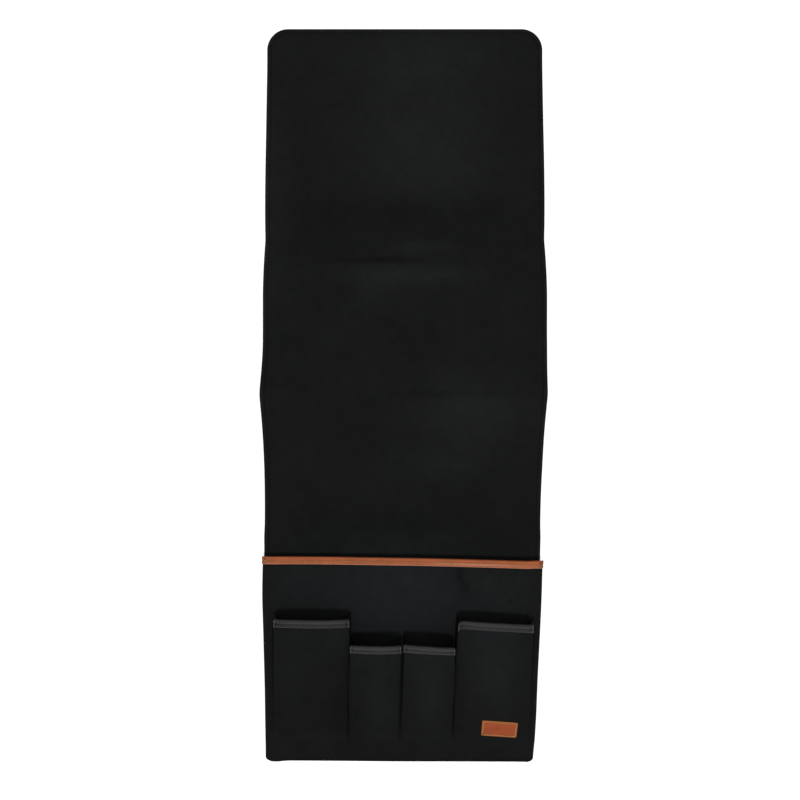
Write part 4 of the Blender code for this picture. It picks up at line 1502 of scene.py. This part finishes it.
class ORGANIZER_OT_small_bindings(Operator):
    """Fold the grey leather over the four small mouths and sew it"""

    bl_idname = "organizer.small_bindings"
    bl_label = "Grey Bindings"

    def execute(self, context):
        """One strip along each mouth."""
        for pocket in POCKETS:
            add_binding(
                pocket.name, lambda across, share: small_front(pocket, across, share),
                pocket.width, SMALL_THICKNESS, GREY_BINDING,
            )
        return {"FINISHED"}


class ORGANIZER_OT_label(Operator):
    """Make the blank tan label with its stitched border"""

    bl_idname = "organizer.label"
    bl_label = "Label"

    def execute(self, context):
        """A grid square to the front, and a seam once round it, an even inset from its edge."""
        half_x, half_y = LABEL_SIZE[0] / 2, LABEL_SIZE[1] / 2
        near = np.array([0, 0.3, 0.7, 1.2, 1.8, 2.4, 3.2]) * MM

        def places(half, count):
            """Places from −half to half, close at both ends and even between."""
            middle = np.linspace(near[-1] - half, half - near[-1], count)
            return np.concatenate([near[:-1] - half, middle, (half - near[:-1])[::-1]])

        across, along = np.meshgrid(places(half_x, 45), places(half_y, 18))
        grid, _ = label_points(*round_corners(across, along, half_x, half_y, 0.0008, label_rim))
        inset = np.minimum(half_x - np.abs(across), half_y - np.abs(along))
        # The label's edge is worn lighter, and painted shade lies along its pressed stitch groove.
        marks = {"wear": 0.8 * bell(inset, 0.0004), "pressed": bell(inset - LABEL_SEAM, 0.0006)}
        flat = np.stack([across, along], axis=-1)
        obj = slab("label", grid, LABEL_THICKNESS, "label_leather_grain", flat, marks)
        at = np.linspace(0, 4, 161)
        line_x = (half_x - LABEL_SEAM) * np.interp(at, range(5), (-1, 1, 1, -1, -1))
        line_y = (half_y - LABEL_SEAM) * np.interp(at, range(5), (-1, -1, 1, 1, -1))
        line, normal = label_points(line_x, line_y, LABEL_THICKNESS + 0 * line_x)
        spots, runs, _ = sewn_along(line, LABEL_PITCH)
        from_middle = np.arange(len(spots)) - (len(spots) - 1) / 2
        share = 0.5 + from_middle * LABEL_PITCH / distances(line)[-1]
        ups = normal[(share * (len(at) - 1)).astype(int)]
        sewing = stitches("label_seam", (spots, runs, ups), "tan_thread", *LABEL_STITCH)
        for piece in (obj, sewing):
            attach(piece, "tall_right_pocket")
        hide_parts("pocket_label")
        return {"FINISHED"}


class ORGANIZER_OT_stage(Operator):
    """Set the pale floor, the soft lamp, the world and the camera above"""

    bl_idname = "organizer.stage"
    bl_label = "Stage"

    def execute(self, context):
        """A square floor just below the lowest cloth; the lamp, world and camera."""
        scene = context.scene
        scene.view_settings.view_transform = "Standard"
        corners = np.array([(-1, -1, 0), (1, -1, 0), (1, 1, 0), (-1, 1, 0)]) * FLOOR_HALF
        corners[:, 2] = FLOOR_HEIGHT
        add_mesh("floor", corners, [np.array([[0, 1, 2, 3]])], "pale_floor")
        self.add_lamp(scene)
        scene.world = self.studio()
        data = bpy.data.cameras.new("camera")
        data.lens = CAMERA_LENS
        camera = bpy.data.objects.new("camera", data)
        camera.location = CAMERA_PLACE
        scene.collection.objects.link(camera)
        scene.camera = camera
        return {"FINISHED"}

    def add_lamp(self, scene):
        """A square soft lamp whose back axis points away from what it is aimed at."""
        lamp = bpy.data.lights.new("key", "AREA")
        lamp.size = LAMP_SIZE
        lamp.energy = LAMP_POWER
        obj = bpy.data.objects.new("key", lamp)
        scene.collection.objects.link(obj)
        back = unit(np.array(LAMP_PLACE) - np.array(LAMP_AIM))
        right = unit(np.cross((0.0, 1.0, 0.0), back))
        turn = np.eye(4)
        turn[:3] = np.stack([right, np.cross(back, right), back, LAMP_PLACE], axis=1)
        obj.matrix_world = Matrix(turn.tolist())

    def studio(self):
        """A soft even light that looks white."""
        world = bpy.data.worlds.new("studio")
        world.use_nodes = True
        nodes = Nodes(world.node_tree)
        background = nodes.tree.nodes["Background"].inputs
        nodes.put(background["Color"], WHITE)
        extra = nodes.math("MULTIPLY", nodes.seen(), 1 - WORLD_LIGHT)
        nodes.put(background["Strength"], nodes.math("ADD", extra, WORLD_LIGHT))
        return world


OPERATORS = (
    ORGANIZER_OT_panel,
    ORGANIZER_OT_core,
    ORGANIZER_OT_seams,
    ORGANIZER_OT_large_pocket,
    ORGANIZER_OT_large_binding,
    ORGANIZER_OT_small_pockets,
    ORGANIZER_OT_small_bindings,
    ORGANIZER_OT_label,
    ORGANIZER_OT_stage,
)


class ORGANIZER_PT_panel(Panel):
    """Lists the organizer's sizes, colours and operators"""

    bl_idname = "ORGANIZER_PT_panel"
    bl_label = "Sofa Armrest Organizer"
    bl_space_type = "VIEW_3D"
    bl_region_type = "UI"
    bl_category = "Organizer"

    def draw(self, context):
        """Fields for the sizes and for the colours, then a button for each operator."""
        for group in (context.scene.organizer_sizes, context.scene.organizer_colours):
            box = self.layout.box()
            for name in group.__annotations__:
                box.prop(group, name)
        for operator in OPERATORS:
            self.layout.operator(operator.bl_idname)


CLASSES = (OrganizerSizes, OrganizerColours, *OPERATORS, ORGANIZER_PT_panel)


def register():
    """Registers the classes and hangs the sizes and colours on the scene."""
    for each in CLASSES:
        bpy.utils.register_class(each)
    bpy.types.Scene.organizer_sizes = PointerProperty(type=OrganizerSizes)
    bpy.types.Scene.organizer_colours = PointerProperty(type=OrganizerColours)


def unregister():
    """Takes away what register added."""
    del bpy.types.Scene.organizer_colours
    del bpy.types.Scene.organizer_sizes
    for each in reversed(CLASSES):
        bpy.utils.unregister_class(each)


def main():
    """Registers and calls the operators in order."""
    register()
    bpy.ops.organizer.panel()
    bpy.ops.organizer.core()
    bpy.ops.organizer.seams()
    bpy.ops.organizer.large_pocket()
    bpy.ops.organizer.large_binding()
    bpy.ops.organizer.small_pockets()
    bpy.ops.organizer.small_bindings()
    bpy.ops.organizer.label()
    bpy.ops.organizer.stage()


if __name__ == "__main__":
    main()
